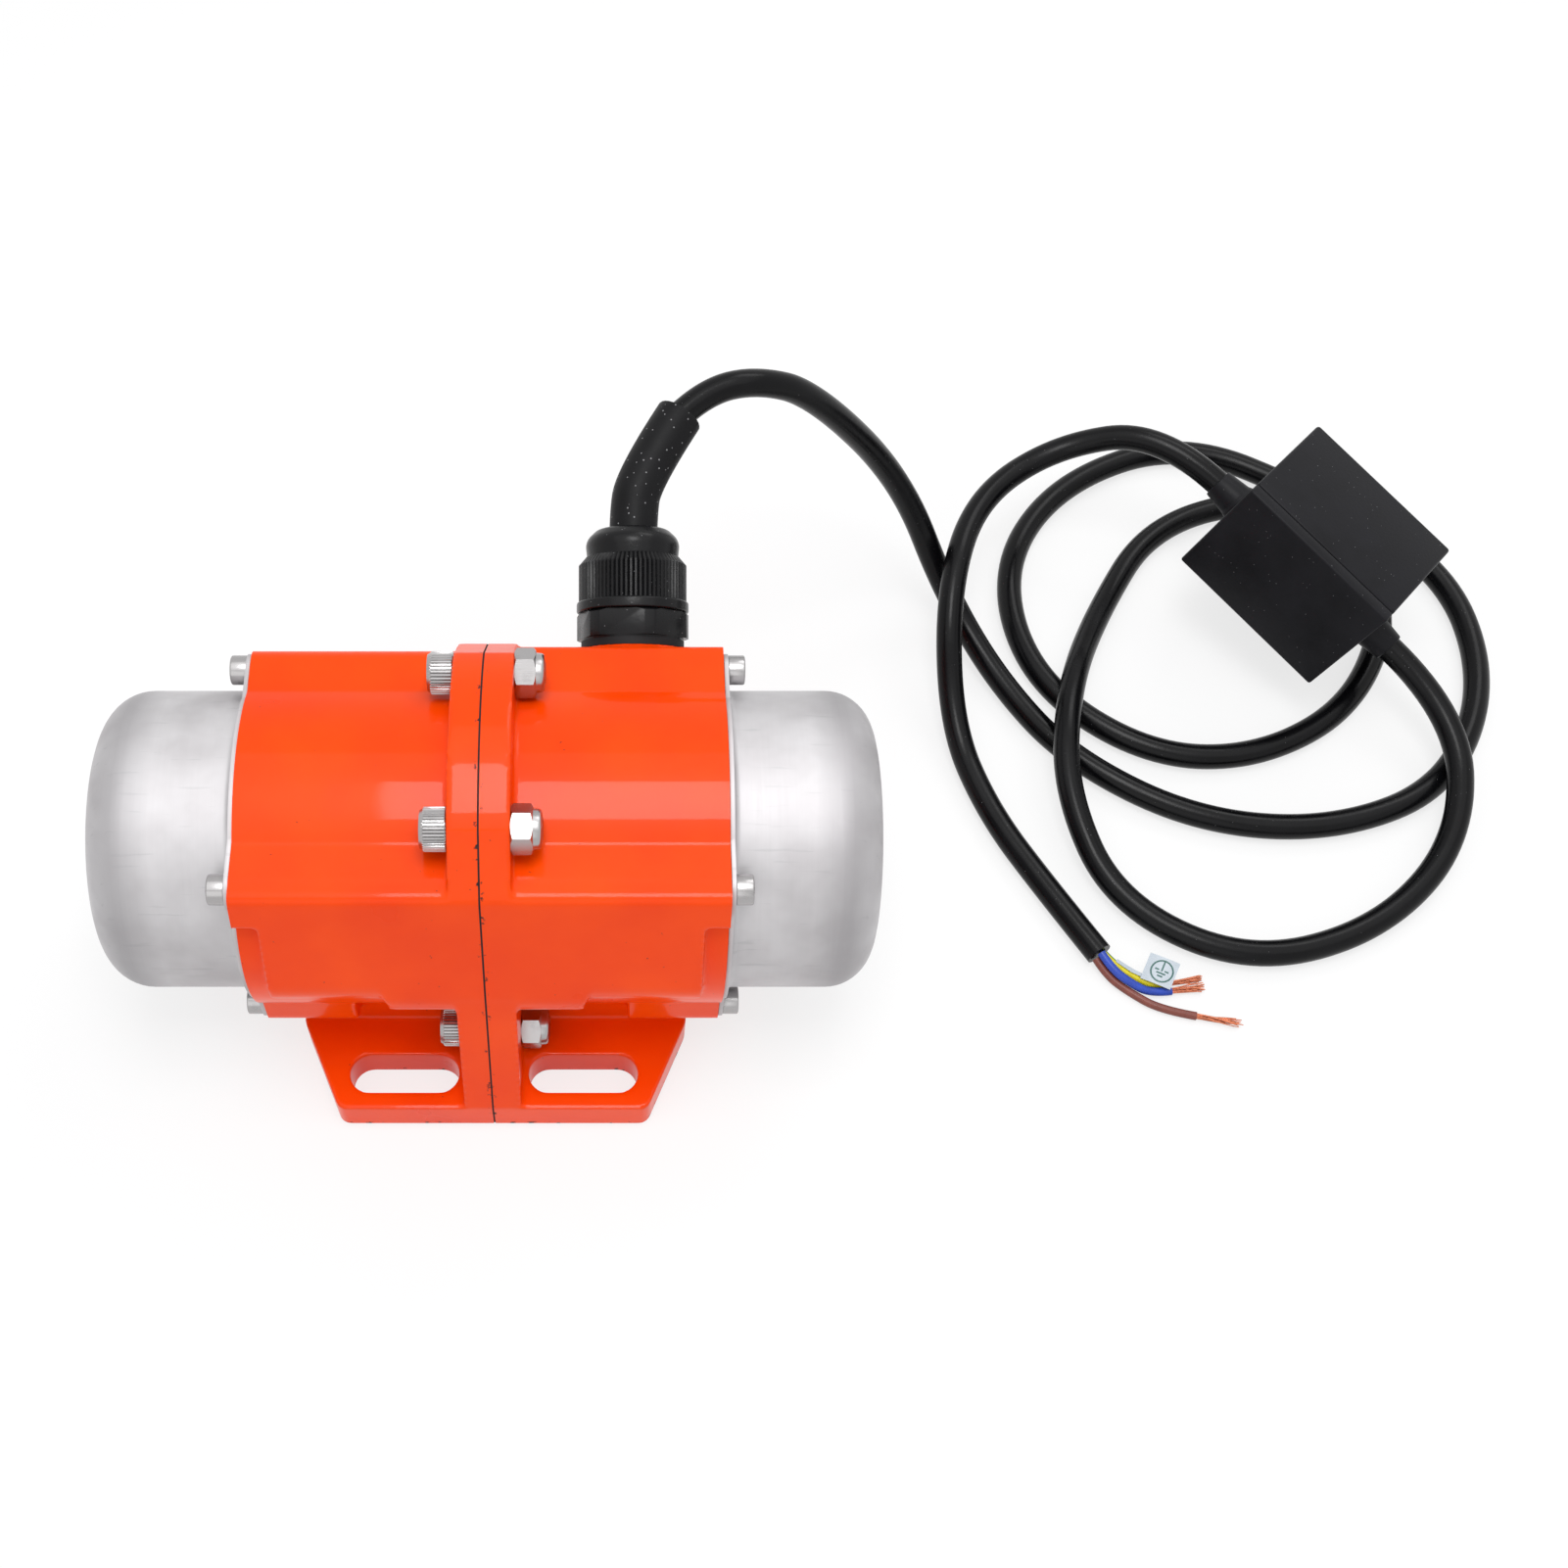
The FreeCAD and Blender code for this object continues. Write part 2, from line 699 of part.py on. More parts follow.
slot_straight = (cell("slotLong") - cell("slotWide")) / 2
for side, sign in (("front", -1.0), ("back", 1.0)):
    slot_y = sized(sign) * cell("slotOut")
    half_wide = cell("slotWide") / 2
    parts = [block(f"slot_{side}_middle",
                   (cell("slotAcross") - slot_straight, cell("slotAcross") + slot_straight),
                   (slot_y - half_wide, slot_y + half_wide), (-past, cell("baseThick") + past))]
    for end, reach in (("inner", -slot_straight), ("outer", slot_straight)):
        round_end = doc.addObject("Part::Cylinder", f"slot_{side}_{end}")
        bind(round_end, Radius=half_wide, Height=cell("baseThick") + 2 * past)
        parts.append(place(round_end, cell("slotAcross") + reach, slot_y, -past))
    holes.append(fuse(f"slot_{side}", *parts))

plain_half = cut("plain_half", casting, bore, *holes)
labelled("housing_left", mirrored("housing_left", plain_half))

# the right half also has a boss and a threaded hole for the cable gland
tilt = math.radians(number("glandTilt"))
gland_way = Vector(0, math.cos(tilt), math.sin(tilt))
gland_turn = Rotation(gland_way, Vector(-1, 0, 0), Vector())
gland_centre = Vector(number("glandAcross"), 0, number("axisHeight"))


def gland_point(out):
    """A point on the gland's axis, at a distance from the shaft."""
    return gland_centre + gland_way * out


gland_upright = Rotation(Vector(0, 0, 1), gland_way)
gland_boss = doc.addObject("Part::Cylinder", "gland_boss")
bind(gland_boss, Radius=cell("glandBoss"), Height=cell("glandSeat") - cell("cavityRadius"))
gland_boss.Placement = Placement(gland_point(number("cavityRadius")), gland_upright)
gland_hole = doc.addObject("Part::Cylinder", "gland_hole")
bind(gland_hole, Radius=cell("glandThread") + seatGap, Height=cell("glandSeat") - cell("hubRadius"))
gland_hole.Placement = Placement(gland_point(number("hubRadius") + past), gland_upright)
outer_boss = cut("outer_boss", gland_boss, bore)
labelled("housing_right", cut("housing_right", fuse("half_with_boss", plain_half, outer_boss), gland_hole))

# a thin gasket closes the joint; its rim stays just inside the flange
gasket_rim = number("gasketRim")
gasket_half = [(y - gasket_rim, up) for y, up in flange_half[:-1]]
gasket_half[0] = (crownHalf - gasket_rim, crown_drop - gasket_rim)
gasket_half.append((cell("baseHalfDepth") - gasket_rim, gasket_rim - axisHeight))
gasket_web = prism("gasket_web", gasket_half + [(-y, up) for y, up in reversed(gasket_half)],
                   -seamHalf, seamHalf)
gasket_crown = common(
    "gasket_crown",
    rod("gasket_disc", crownRadius - gasket_rim, -seamHalf, seamHalf),
    block("gasket_window", (-seamHalf, seamHalf), (-crownHalf, crownHalf),
          (axisHeight, axisHeight + crownRadius)))
gasket_holes = [rod(f"gasket_hole_{i}", cell("boltRadius") + cell("boltClear"), -past, past, y, z)
                for i, (y, z) in enumerate(bolt_places)]
gasket_bore = rod("gasket_bore", cell("stackRadius") + gasket_rim, -past, past)
labelled("housing_gasket", cut("housing_gasket", fuse("gasket_sheet", gasket_web, gasket_crown),
                               gasket_bore, *gasket_holes))


# ---------------------------------------------------------------- end caps

def ear_plate(name, start, stop, rim):
    """A disc joined to a round-cornered square, set in from the casting's edge by the rim."""
    reach = blockHalf - rim
    square = block(name + "_square", (start, stop), (-reach, reach),
                   (axisHeight - reach, axisHeight + reach))

    def along(edge):
        middle = edge.CenterOfMass
        return (abs(abs(middle.y) - reach.value) < 0.1
                and abs(abs(middle.z - number("axisHeight")) - reach.value) < 0.1)

    soft = rounded(name + "_soft", square, cell("blockRound"), along)
    disc = rod(name + "_disc", cell("barrelEnd") - rim, start, stop)
    return fuse(name + "_sheet", soft, disc)


plate_start = cell("plateStart")
plate_stop = cell("plateStop")
cap_holes = [rod(f"cap_hole_{i}", cell("screwRadius") + cell("boltClear"), bodyHalf - past,
                 plate_stop + past, y, z) for i, (y, z) in enumerate(screw_places)]
cap_gasket = cut("cap_gasket_right", ear_plate("cap_gasket", bodyHalf, plate_start, cell("plateRim") * 1.4),
                 rod("cap_gasket_bore", cell("gasketBore"), bodyHalf - past, plate_start + past), *cap_holes)
both_sides("cap_gasket", cap_gasket)

capRadius = cell("capRadius")
capSheet = cell("capSheet")
cap_end = cell("capEnd")


def is_cap_edge(edge):
    """The round edge where the cup's wall meets its domed end."""
    box = edge.BoundBox
    return box.XLength < 0.01 and box.XMin > plate_stop.value + 5.0 and box.YLength > 40.0


outer_cup = rounded("outer_cup", turned("outer_form", [
    (plate_start, 0.0), (plate_start, capRadius), (cap_end - cell("capDome"), capRadius),
    (cap_end, 0.0)]), cell("capRound"), is_cap_edge)
inner_cup = rounded("inner_cup", turned("inner_form", [
    (plate_start - past, 0.0), (plate_start - past, capRadius - capSheet),
    (cap_end - cell("capDome") - capSheet, capRadius - capSheet), (cap_end - capSheet, 0.0)]),
    cell("capRound") - capSheet, is_cap_edge)
cap = cut("end_cap_right", fuse("cap_form", ear_plate("cap_plate", plate_start, plate_stop, cell("plateRim")),
                                outer_cup), inner_cup, *cap_holes)
both_sides("end_cap", cap)


# ---------------------------------------------------------------- stator

def spokes(name, count, x, across, radial):
    """Bars spread evenly around the shaft, each a box with its own width and radial span."""
    bars = []
    for i in range(count):
        bar = Part.makeBox(x[1] - x[0], across, radial[1] - radial[0],
                           Vector(x[0], -across / 2, radial[0]))
        bar.rotate(Vector(), Vector(1, 0, 0), 360.0 * i / count)
        bar.translate(Vector(0, 0, number("axisHeight")))
        bars.append(bar)
    return solid(name, Part.makeCompound(bars))


slot_count = int(number("slotCount"))
stack = number("stackHalf")
stator_bore = number("rotorRadius") + number("airGap")
core_ring = turned("stator_ring", ring(-cell("stackHalf"), cell("stackHalf"),
                                       cell("rotorRadius") + cell("airGap"), cell("stackRadius")))
slot_bars = spokes("slot_bars", slot_count, (-stack - past, stack + past), number("slotWidth"),
                   (number("slotBottom"), number("slotTop")))
slot_mouths = spokes("slot_mouths", slot_count, (-stack - past, stack + past), number("slotMouth"),
                     (stator_bore - past, number("slotBottom") + past))
labelled("stator_core", cut("stator_core", cut("slotted_ring", core_ring, slot_bars), slot_mouths))

winding_gap = number("windingGap")
turn_start = cell("turnStart")
turn_stop = cell("turnStop")
coil_bars = spokes("coil_bars", slot_count, (-turn_start.value - 2, turn_start.value + 2),
                   number("slotWidth") - 2 * winding_gap,
                   (number("slotBottom") + winding_gap, number("slotTop") - winding_gap))
end_turns = [turned(f"end_turn_{side}", ring(turn_start * sign, turn_stop * sign,
                                             cell("slotBottom") + cell("windingGap"), cell("turnOuter")))
             for side, sign in sides.items()]
labelled("stator_windings", fuse("stator_windings", coil_bars, *end_turns))


# ---------------------------------------------------------------- shaft, rotor and bearings

weightStart = cell("weightStart")
weightThick = cell("weightThick")
adjust_start, adjust_stop = cell("adjustStart"), cell("adjustStop")
snap_start, snap_stop = cell("snapStart"), cell("snapStop")
journal = cell("bearingBore") / 2 - 0.01
right_steps = [
    (bearingStart, cell("coreSeat")),
    (bearingStart, journal),
    (weightStart - 0.1, journal),
    (weightStart - 0.1, cell("weightSeat")),
    (snap_start - seatGap, cell("weightSeat")),
    (snap_start - seatGap, cell("snapGroove")),
    (snap_stop + seatGap, cell("snapGroove")),
    (snap_stop + seatGap, cell("weightSeat")),
    (cell("shaftEnd") - 1.0, cell("weightSeat")),
    (cell("shaftEnd"), cell("weightSeat") - 1.0),
]
left_steps = [(-x, radius) for x, radius in reversed(right_steps)]
shaft_profile = ([(-cell("shaftEnd"), 0.0)] + left_steps + right_steps + [(cell("shaftEnd"), 0.0)])
plain_shaft = turned("plain_shaft", shaft_profile)

key_half = cell("keyWide") / 2
key_start = weightStart + 1.5
key_stop = key_start + cell("keyLong")
keyways = [block(f"keyway_{side}",
                 (key_start - 0.1, key_stop + 0.1) if sign > 0 else (-key_stop - 0.1, -key_start + 0.1),
                 (-key_half - seatGap, key_half + seatGap),
                 (axisHeight + cell("keyBottom"), axisHeight + cell("keyTop")))
           for side, sign in sides.items()]
labelled("shaft", cut("shaft", plain_shaft, *keyways))

keys = [block(f"key_{side}", (key_start, key_stop) if sign > 0 else (-key_stop, -key_start),
              (-key_half, key_half),
              (axisHeight + cell("keyBottom") + seatGap, axisHeight + cell("keyTop")))
        for side, sign in sides.items()]
key_pair = doc.addObject("Part::Compound", "weight_keys")
key_pair.Links = keys
labelled("weight_keys", key_pair)

snap_rings = []
for side, sign in sides.items():
    snap = turned(f"snap_{side}", ring(snap_start * sign, snap_stop * sign,
                                       cell("snapGroove") + seatGap, cell("snapOuter")))
    opening = block(f"snap_opening_{side}",
                    (snap_start - past, snap_stop + past) if sign > 0
                    else (-snap_stop - past, -snap_start + past),
                    (-cell("snapGroove") * 0.5, cell("snapGroove") * 0.5),
                    (axisHeight, axisHeight + cell("snapOuter") + past))
    snap_rings.append(cut(f"snap_ring_{side}", snap, opening))
snap_pair = doc.addObject("Part::Compound", "shaft_snap_rings")
snap_pair.Links = snap_rings
labelled("shaft_snap_rings", snap_pair)

bar_count = int(number("barCount"))


def around_bars(name, radius, start, stop):
    """Round bars through the rotor, evenly spaced near its rim."""
    bars = []
    for i in range(bar_count):
        y, z = around(360.0 * i / bar_count, number("barCircle"))
        bars.append(Part.makeCylinder(radius, stop - start, Vector(start, y, z), Vector(1, 0, 0)))
    return solid(name, Part.makeCompound(bars))


core_blank = turned("rotor_blank", ring(-cell("stackHalf"), cell("stackHalf"),
                                        cell("coreSeat") + 0.01, cell("rotorRadius")))
labelled("rotor_core", cut("rotor_core", core_blank,
                           around_bars("bar_holes", number("barRadius") + 0.05, -stack - past, stack + past)))
cage_stop = cell("stackHalf") + cell("cageRing")
cage_rings = [turned(f"cage_ring_{side}", ring((cell("stackHalf") + 0.05) * sign, cage_stop * sign,
                                               cell("cageInner"), cell("rotorRadius") - 0.5))
              for side, sign in sides.items()]
cage_bars = around_bars("cage_bars", number("barRadius"), -stack - 2 * past, stack + 2 * past)
labelled("rotor_cage", fuse("rotor_cage", cage_bars, *cage_rings))

bearing_stop = bearingStart + cell("bearingWide")
race_middle = (bearingStart + bearing_stop) / 2


def raceway(name, tube, sign):
    """A ring-shaped groove that the balls run in."""
    groove = doc.addObject("Part::Torus", name)
    bind(groove, Radius1=cell("ballCircle"), Radius2=tube)
    return place(groove, race_middle * sign, 0.0, axisHeight, along_x)


ball_count = int(number("ballCount"))
for side, sign in sides.items():
    name = f"bearing_{side}"
    outer = turned(name + "_outer_blank", ring(bearingStart * sign, bearing_stop * sign,
                                               cell("outerLand"), bearing_bore - 0.01))
    inner = turned(name + "_inner_blank", ring(bearingStart * sign, bearing_stop * sign,
                                               cell("bearingBore") / 2, cell("innerLand")))
    labelled(name + "_outer_ring", cut(name + "_outer_ring", outer,
                                       raceway(name + "_outer_race", cell("grooveRadius"), sign)))
    labelled(name + "_inner_ring", cut(name + "_inner_ring", inner,
                                       raceway(name + "_inner_race", cell("grooveRadius"), sign)))
    centres = [Vector(race_middle.value * sign, *around(360.0 * i / ball_count, number("ballCircle")))
               for i in range(ball_count)]
    balls = [Part.makeSphere(number("ballRadius"), centre) for centre in centres]
    labelled(name + "_balls", solid(name + "_balls", Part.makeCompound(balls)))
    pockets = [Part.makeSphere(number("ballRadius") + 0.15, centre) for centre in centres]
    band = turned(name + "_band", ring(race_middle * sign - cell("cageWide") / 2,
                                       race_middle * sign + cell("cageWide") / 2,
                                       cell("ballCircle") - cell("cageHalf"),
                                       cell("ballCircle") + cell("cageHalf")))
    labelled(name + "_cage", cut(name + "_cage", band, solid(name + "_pockets", Part.makeCompound(pockets))))

spring_thick = cell("washerRoom") - 0.1
spring_inner = cell("outerLand") + 0.2
labelled("bearing_preload_washer", turned("bearing_preload_washer", ring(
    -bearing_stop - spring_thick, -bearing_stop, spring_inner, bearing_bore - 0.1)))
labelled("bearing_shim", turned("bearing_shim", ring(
    bearing_stop, bearing_stop + spring_thick, spring_inner, bearing_bore - 0.1)))


# ---------------------------------------------------------------- eccentric weights

def weight(name, sign, near, far):
    """A half disc below the shaft with a full hub, bored for the shaft."""
    start, stop = (near, far) if sign > 0 else (-far, -near)
    reach = cell("weightRadius")
    half = common(name + "_half", rod(name + "_disc", reach, start, stop),
                  block(name + "_lower", (start, stop), (-reach, reach), (axisHeight - reach, axisHeight)))
    hub = rod(name + "_hub", cell("weightHub"), start, stop)
    bored = rod(name + "_bore", cell("weightSeat") + seatGap, start - past, stop + past)
    return fuse(name + "_blank", half, hub), bored


for side, sign in sides.items():
    name = f"fixed_weight_{side}"
    blank, bored = weight(name, sign, weightStart, weightStart + weightThick)
    keyway = block(name + "_keyway",
                   (weightStart - past, weightStart + weightThick + past) if sign > 0
                   else (-weightStart - weightThick - past, -weightStart + past),
                   (-key_half - seatGap, key_half + seatGap),
                   (axisHeight, axisHeight + cell("keyTop") + seatGap))
    labelled(name, cut(name, blank, bored, keyway))

    name = f"adjustable_weight_{side}"
    blank, bored = weight(name, sign, adjust_start, adjust_stop)
    middle = (adjust_start + adjust_stop) / 2 * sign
    tapped = doc.addObject("Part::Cylinder", name + "_tapped")
    bind(tapped, Radius=cell("setScrew") + seatGap, Height=cell("weightHub"))
    place(tapped, middle, 0.0, axisHeight + 1.0)
    labelled(name, cut(name, blank, bored, tapped))

    screw_bottom = number("weightSeat") + 0.15
    grip = Part.makeCylinder(number("setScrew"), number("weightHub") - screw_bottom,
                             Vector(middle.value, 0, number("axisHeight") + screw_bottom))
    recess = hexagon(number("setScrew"), 2.5)
    recess.Placement = Placement(Vector(middle.value, 0, number("axisHeight") + number("weightHub") - 2.0),
                                 Rotation(Vector(1, 0, 0), Vector(0, 0, 1)))
    labelled(f"weight_set_screw_{side}", solid(f"weight_set_screw_{side}", grip.cut(recess)))


# ---------------------------------------------------------------- cable gland

def gland_turned(name, corners):
    """A piece turned about the gland's axis, measured from the gland's seat."""
    return turned(name, corners, Placement(gland_point(number("glandSeat")),
                                           Rotation(Vector(1, 0, 0), gland_way)))


sleeve_room = cell("sleeveRadius") + 0.1
hexTop = cell("glandHexTop")
washer_top = cell("glandWasherThick")
barrel_top = cell("glandBarrelTop")
labelled("gland_washer", gland_turned("gland_washer", ring(
    0.0, washer_top, cell("glandThread") + 0.1, cell("glandWasherRadius"))))
gland_core = gland_turned("gland_core", [
    (-cell("glandThreadLong"), sleeve_room),
    (barrel_top, sleeve_room),
    (barrel_top, cell("glandBarrel")),
    (hexTop, cell("glandBarrel")),
    (hexTop, cell("glandFlats") / 2),
    (washer_top, cell("glandFlats") / 2),
    (washer_top, cell("glandThread")),
    (-cell("glandThreadLong"), cell("glandThread")),
])
hex_bar = hexagon(number("glandFlats"), number("glandHexTop") - number("glandWasherThick"))
hex_bar.rotate(Vector(), Vector(1, 0, 0), 12.0)
hex_bar = hex_bar.cut(Part.makeCylinder(number("sleeveRadius") + 0.1, 50, Vector(), Vector(1, 0, 0)))
hex_ring = solid("gland_hexagon", hex_bar)
hex_ring.Placement = Placement(gland_point(number("glandSeat") + number("glandWasherThick")),
                               Rotation(Vector(1, 0, 0), gland_way))
labelled("gland_body", fuse("gland_body", gland_core, hex_ring))

nut_start = hexTop + 0.2
nut_room = cell("glandBarrel") + seatGap
dome_under = cell("glandNutTop") + 3.0
labelled("gland_nut", gland_turned("gland_nut", [
    (nut_start, nut_room),
    (dome_under, nut_room),
    (dome_under, sleeve_room),
    (cell("glandDomeTop"), sleeve_room),
    (cell("glandDomeTop"), cell("glandDomeRadius") - 3.0),
    (cell("glandDomeTop") - 2.0, cell("glandDomeRadius")),
    (cell("glandNutTop") + 2.0, cell("glandDomeRadius") + 0.6),
    (cell("glandNutTop"), cell("glandNutRadius")),
    (cell("glandRimTop"), cell("glandNutRadius")),
    (cell("glandRimTop"), cell("glandRimRadius")),
    (nut_start, cell("glandRimRadius")),
]))
labelled("gland_seal", gland_turned("gland_seal", ring(
    barrel_top + seatGap, dome_under - seatGap, cell("sleeveRadius") + 0.02, cell("glandBarrel") - 0.2)))


# ---------------------------------------------------------------- cable

def smooth_path(points, share=0.45):
    """Straight runs joined by tangent arcs, each arc as large as its runs allow."""
    edges = []
    radii = []
    start = points[0]
    for before, corner, after in zip(points, points[1:], points[2:]):
        into = corner - before
        away = after - corner
        turn = into.getAngle(away)
        trim = share * min(into.Length, away.Length)
        radius = trim / math.tan(turn / 2)
        radii.append(radius)
        into.normalize()
        away.normalize()
        first = corner - into * trim
        last = corner + away * trim
        middle_way = away - into
        middle_way.normalize()
        middle = corner + middle_way * (radius / math.cos(turn / 2) - radius)
        edges.append(Part.LineSegment(start, first).toShape())
        edges.append(Part.Arc(first, middle, last).toShape())
        start = last
    edges.append(Part.LineSegment(start, points[-1]).toShape())
    return Part.Wire(edges), radii


def tube(name, points, radius, share=0.45):
    """A round solid along a smooth path, with its bend radii and volume checked."""
    path, radii = smooth_path(points, share)
    way = points[1] - points[0]
    section = Part.Wire(Part.Circle(points[0], way, radius).toShape())
    shape = path.makePipeShell([section], True, True)
    expected = math.pi * radius ** 2 * path.Length
    if abs(shape.Volume / expected - 1) > 0.01:
        raise ValueError(f"{name}: volume {shape.Volume:.0f} is not {expected:.0f}")
    print(f"{name}: length {path.Length:.0f}, bend radii",
          " ".join(f"{bend:.0f}" for bend in radii))
    return shape


def capsule_end(direction, radius, point, length):
    """A plain straight length of wire."""
    return Part.makeCylinder(radius, length, point, direction)


cableRadius = number("cableRadius")
lying = cableRadius + 0.1

# the sleeve bends over to the right as it leaves the gland
entry_start = gland_point(number("glandSeat") - number("entryDeep"))
sleeve_start = gland_point(number("glandSeat") + number("glandHexTop") + number("sleeveSunk"))
sleeve_bend = gland_point(number("glandSeat") + number("glandDomeTop") + number("sleeveStraight"))
sleeve_tip = Vector(46, 92, 96.5)
sleeve = tube("cable_sleeve", [sleeve_start, sleeve_bend, sleeve_tip], number("sleeveRadius"), 0.95)
entry_room = tube("sleeve_bore", [sleeve_start, sleeve_bend, sleeve_tip], cableRadius + 0.1, 0.95)
labelled("cable_sleeve", solid("cable_sleeve", sleeve.cut(entry_room)))
labelled("motor_cable_entry", solid("motor_cable_entry", tube(
    "motor_cable_entry", [entry_start, sleeve_bend, sleeve_tip], cableRadius, 0.95)))

# three leads run from the end turns into the gland
lead_bottom = number("slotTop") - number("leadSunk")
lead_top = number("glandSeat") - number("entryDeep") - number("turnGap")
leads = []
for shift in (-number("leadSpacing"), 0.0, number("leadSpacing")):
    foot = gland_point(lead_bottom) + gland_way.cross(Vector(1, 0, 0)) * shift
    foot.x = number("glandAcross") + 0.2
    leads.append(capsule_end(gland_way, number("leadRadius"), foot, lead_top - lead_bottom))
labelled("stator_leads", solid("stator_leads", Part.makeCompound(leads)))

# where the capacitor box lies, leaning on the cable beneath it
box_centre = Vector(222.3, 98.8, 34.0)
box_turn = Rotation(-44.3, 14.9, -11.2)
box_place = Placement(box_centre, box_turn)
boxLong = number("boxLong")
collar_tip = boxLong / 2 + number("collarLong")


def collar_point(along):
    """A point on the line through both collars, at a distance from the box's middle."""
    return box_place.multVec(Vector(along, 0, -number("collarDrop")))



motor_cable_route = [
    sleeve_tip, Vector(62, 105, 98), Vector(84, 117, 83), Vector(108, 115, 46),
    Vector(125, 103, 11), Vector(139, 77, lying), Vector(156, 52, lying), Vector(188, 32, lying),
    Vector(225, 29, lying), Vector(259, 43, lying), Vector(277, 78, lying), Vector(273, 117, lying),
    Vector(240, 144, lying), Vector(203, 165, lying), Vector(164, 149, lying), Vector(143, 117, lying),
    Vector(148, 78, lying), Vector(177, 53, lying), Vector(209, 52, lying), Vector(240, 71, lying),
    Vector(256, 109, lying), Vector(230, 144, lying), Vector(190, 134, lying), Vector(168, 98, 4.5),
    Vector(155, 66, 14), Vector(152, 37, 10), Vector(163, 7, lying), Vector(195, -11, lying),
    Vector(232, -1, lying), Vector(257, 24, 8), collar_point(collar_tip + 26), collar_point(collar_tip),
]
labelled("motor_cable", solid("motor_cable", tube("motor_cable", motor_cable_route, cableRadius)))

supply_cable_route = [
    collar_point(-collar_tip), collar_point(-collar_tip - 23), Vector(157, 145, 28),
    Vector(131, 125, 26), Vector(122, 92, 26),
    Vector(124, 62, 5), Vector(132, 35, lying), Vector(146, 10, lying), Vector(157, -8, lying),
]
labelled("supply_cable", solid("supply_cable", tube("supply_cable", supply_cable_route, cableRadius)))

# three conductors leave the end of the jacket and lie on the ground
wire_ends = {
    "blue_wire": [Vector(157.2, -8.3, 4.9), Vector(159.8, -12.8, 4.2), Vector(164, -15.8, 3.0),
                  Vector(169.2, -18.4, 1.6), Vector(175, -17.6, 1.3)],
    "brown_wire": [Vector(156.1, -9.1, 3.1), Vector(158.6, -13.4, 1.9), Vector(164, -17.9, 1.3),
                   Vector(171.5, -22.9, 1.3), Vector(180.5, -24.7, 1.3)],
    "earth_wire": [Vector(158.3, -7.7, 3.1), Vector(160.8, -10.8, 2.0), Vector(165.6, -12.6, 1.3),
                   Vector(171, -15, 1.3), Vector(175.6, -14.0, 1.3)],
}
copper = []
for name, route in wire_ends.items():
    labelled(name, solid(name, tube(name, route, number("wireRadius"))))
    way = route[-1] - route[-2]
    way.z = 0
    way.normalize()
    copper.append(capsule_end(way, number("copperRadius"), route[-1], number("copperLong")))
labelled("copper_strands", solid("copper_strands", Part.makeCompound(copper)))

tag = Part.makeBox(number("tagLong"), number("tagWide"), number("tagThick"))
labelled("earth_tag", solid("earth_tag", tag))
nodes["earth_tag"].Placement = Placement(Vector(166.5, -12.9, 2.75), Rotation(-14.0, -8.0, 10.0))


# ---------------------------------------------------------------- capacitor box

def box_solid(name, shape):
    thing = solid(name, shape)
    thing.Placement = box_place
    return labelled(name, thing)


def centred_box(x, y, z, centre=Vector()):
    return Part.makeBox(x, y, z, centre - Vector(x / 2, y / 2, z / 2))


boxWide, boxHigh, boxWall = number("boxWide"), number("boxHigh"), number("boxWall")
lidThick, lidLip, lidGap = number("lidThick"), number("lidLip"), number("lidGap")
tub = centred_box(boxLong, boxWide - lidThick, boxHigh, Vector(0, lidThick / 2, 0))
tub = tub.cut(centred_box(boxLong - 2 * boxWall, boxWide - lidThick, boxHigh - 2 * boxWall,
                          Vector(0, lidThick / 2 - boxWall, 0)))
box_solid("capacitor_box", tub)
lid = centred_box(boxLong, lidThick - lidGap, boxHigh, Vector(0, (lidThick - lidGap - boxWide) / 2, 0))
spigot = centred_box(boxLong - 2 * (boxWall + lidGap), lidLip, boxHigh - 2 * (boxWall + lidGap),
                     Vector(0, lidThick - lidGap + lidLip / 2 - boxWide / 2, 0))
box_solid("capacitor_box_lid", lid.fuse(spigot).removeSplitter())
can_drop = (boxHigh - 2 * boxWall - number("capacitorHigh")) / 2 - number("turnGap")
can = centred_box(number("capacitorLong"), number("capacitorWide"), number("capacitorHigh"),
                  Vector(0, 1.0, -can_drop))
upright = [edge for edge in can.Edges if edge.BoundBox.ZLength > lidThick]
box_solid("run_capacitor", can.makeFillet(number("capacitorRound"), upright))
collars = []
for sign in (-1, 1):
    collars.append(Part.makeCone(number("collarRadius"), number("collarRadius") - number("collarTaper"),
                                 number("collarLong"), Vector(sign * boxLong / 2, 0, -number("collarDrop")),
                                 Vector(sign, 0, 0)))
box_solid("capacitor_box_collars", Part.makeCompound(collars))


# ---------------------------------------------------------------- check and write

doc.recompute()
for thing in doc.Objects:
    wrong = {"Invalid", "Error"} & set(thing.State)
    if wrong:
        raise ValueError(f"{thing.Name} is {wrong}")
for name, thing in nodes.items():
    if thing.Shape.isNull() or not thing.Shape.isValid() or not thing.Shape.Solids:
        raise ValueError(f"{name} has no valid shape")

os.makedirs("parts", exist_ok=True)
for name, thing in nodes.items():
    thing.Shape.exportStep(f"parts/{name}.step")
print(f"wrote {len(nodes)} parts")
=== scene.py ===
import json
import math
import random

import bpy
from mathutils import Matrix, Quaternion, Vector


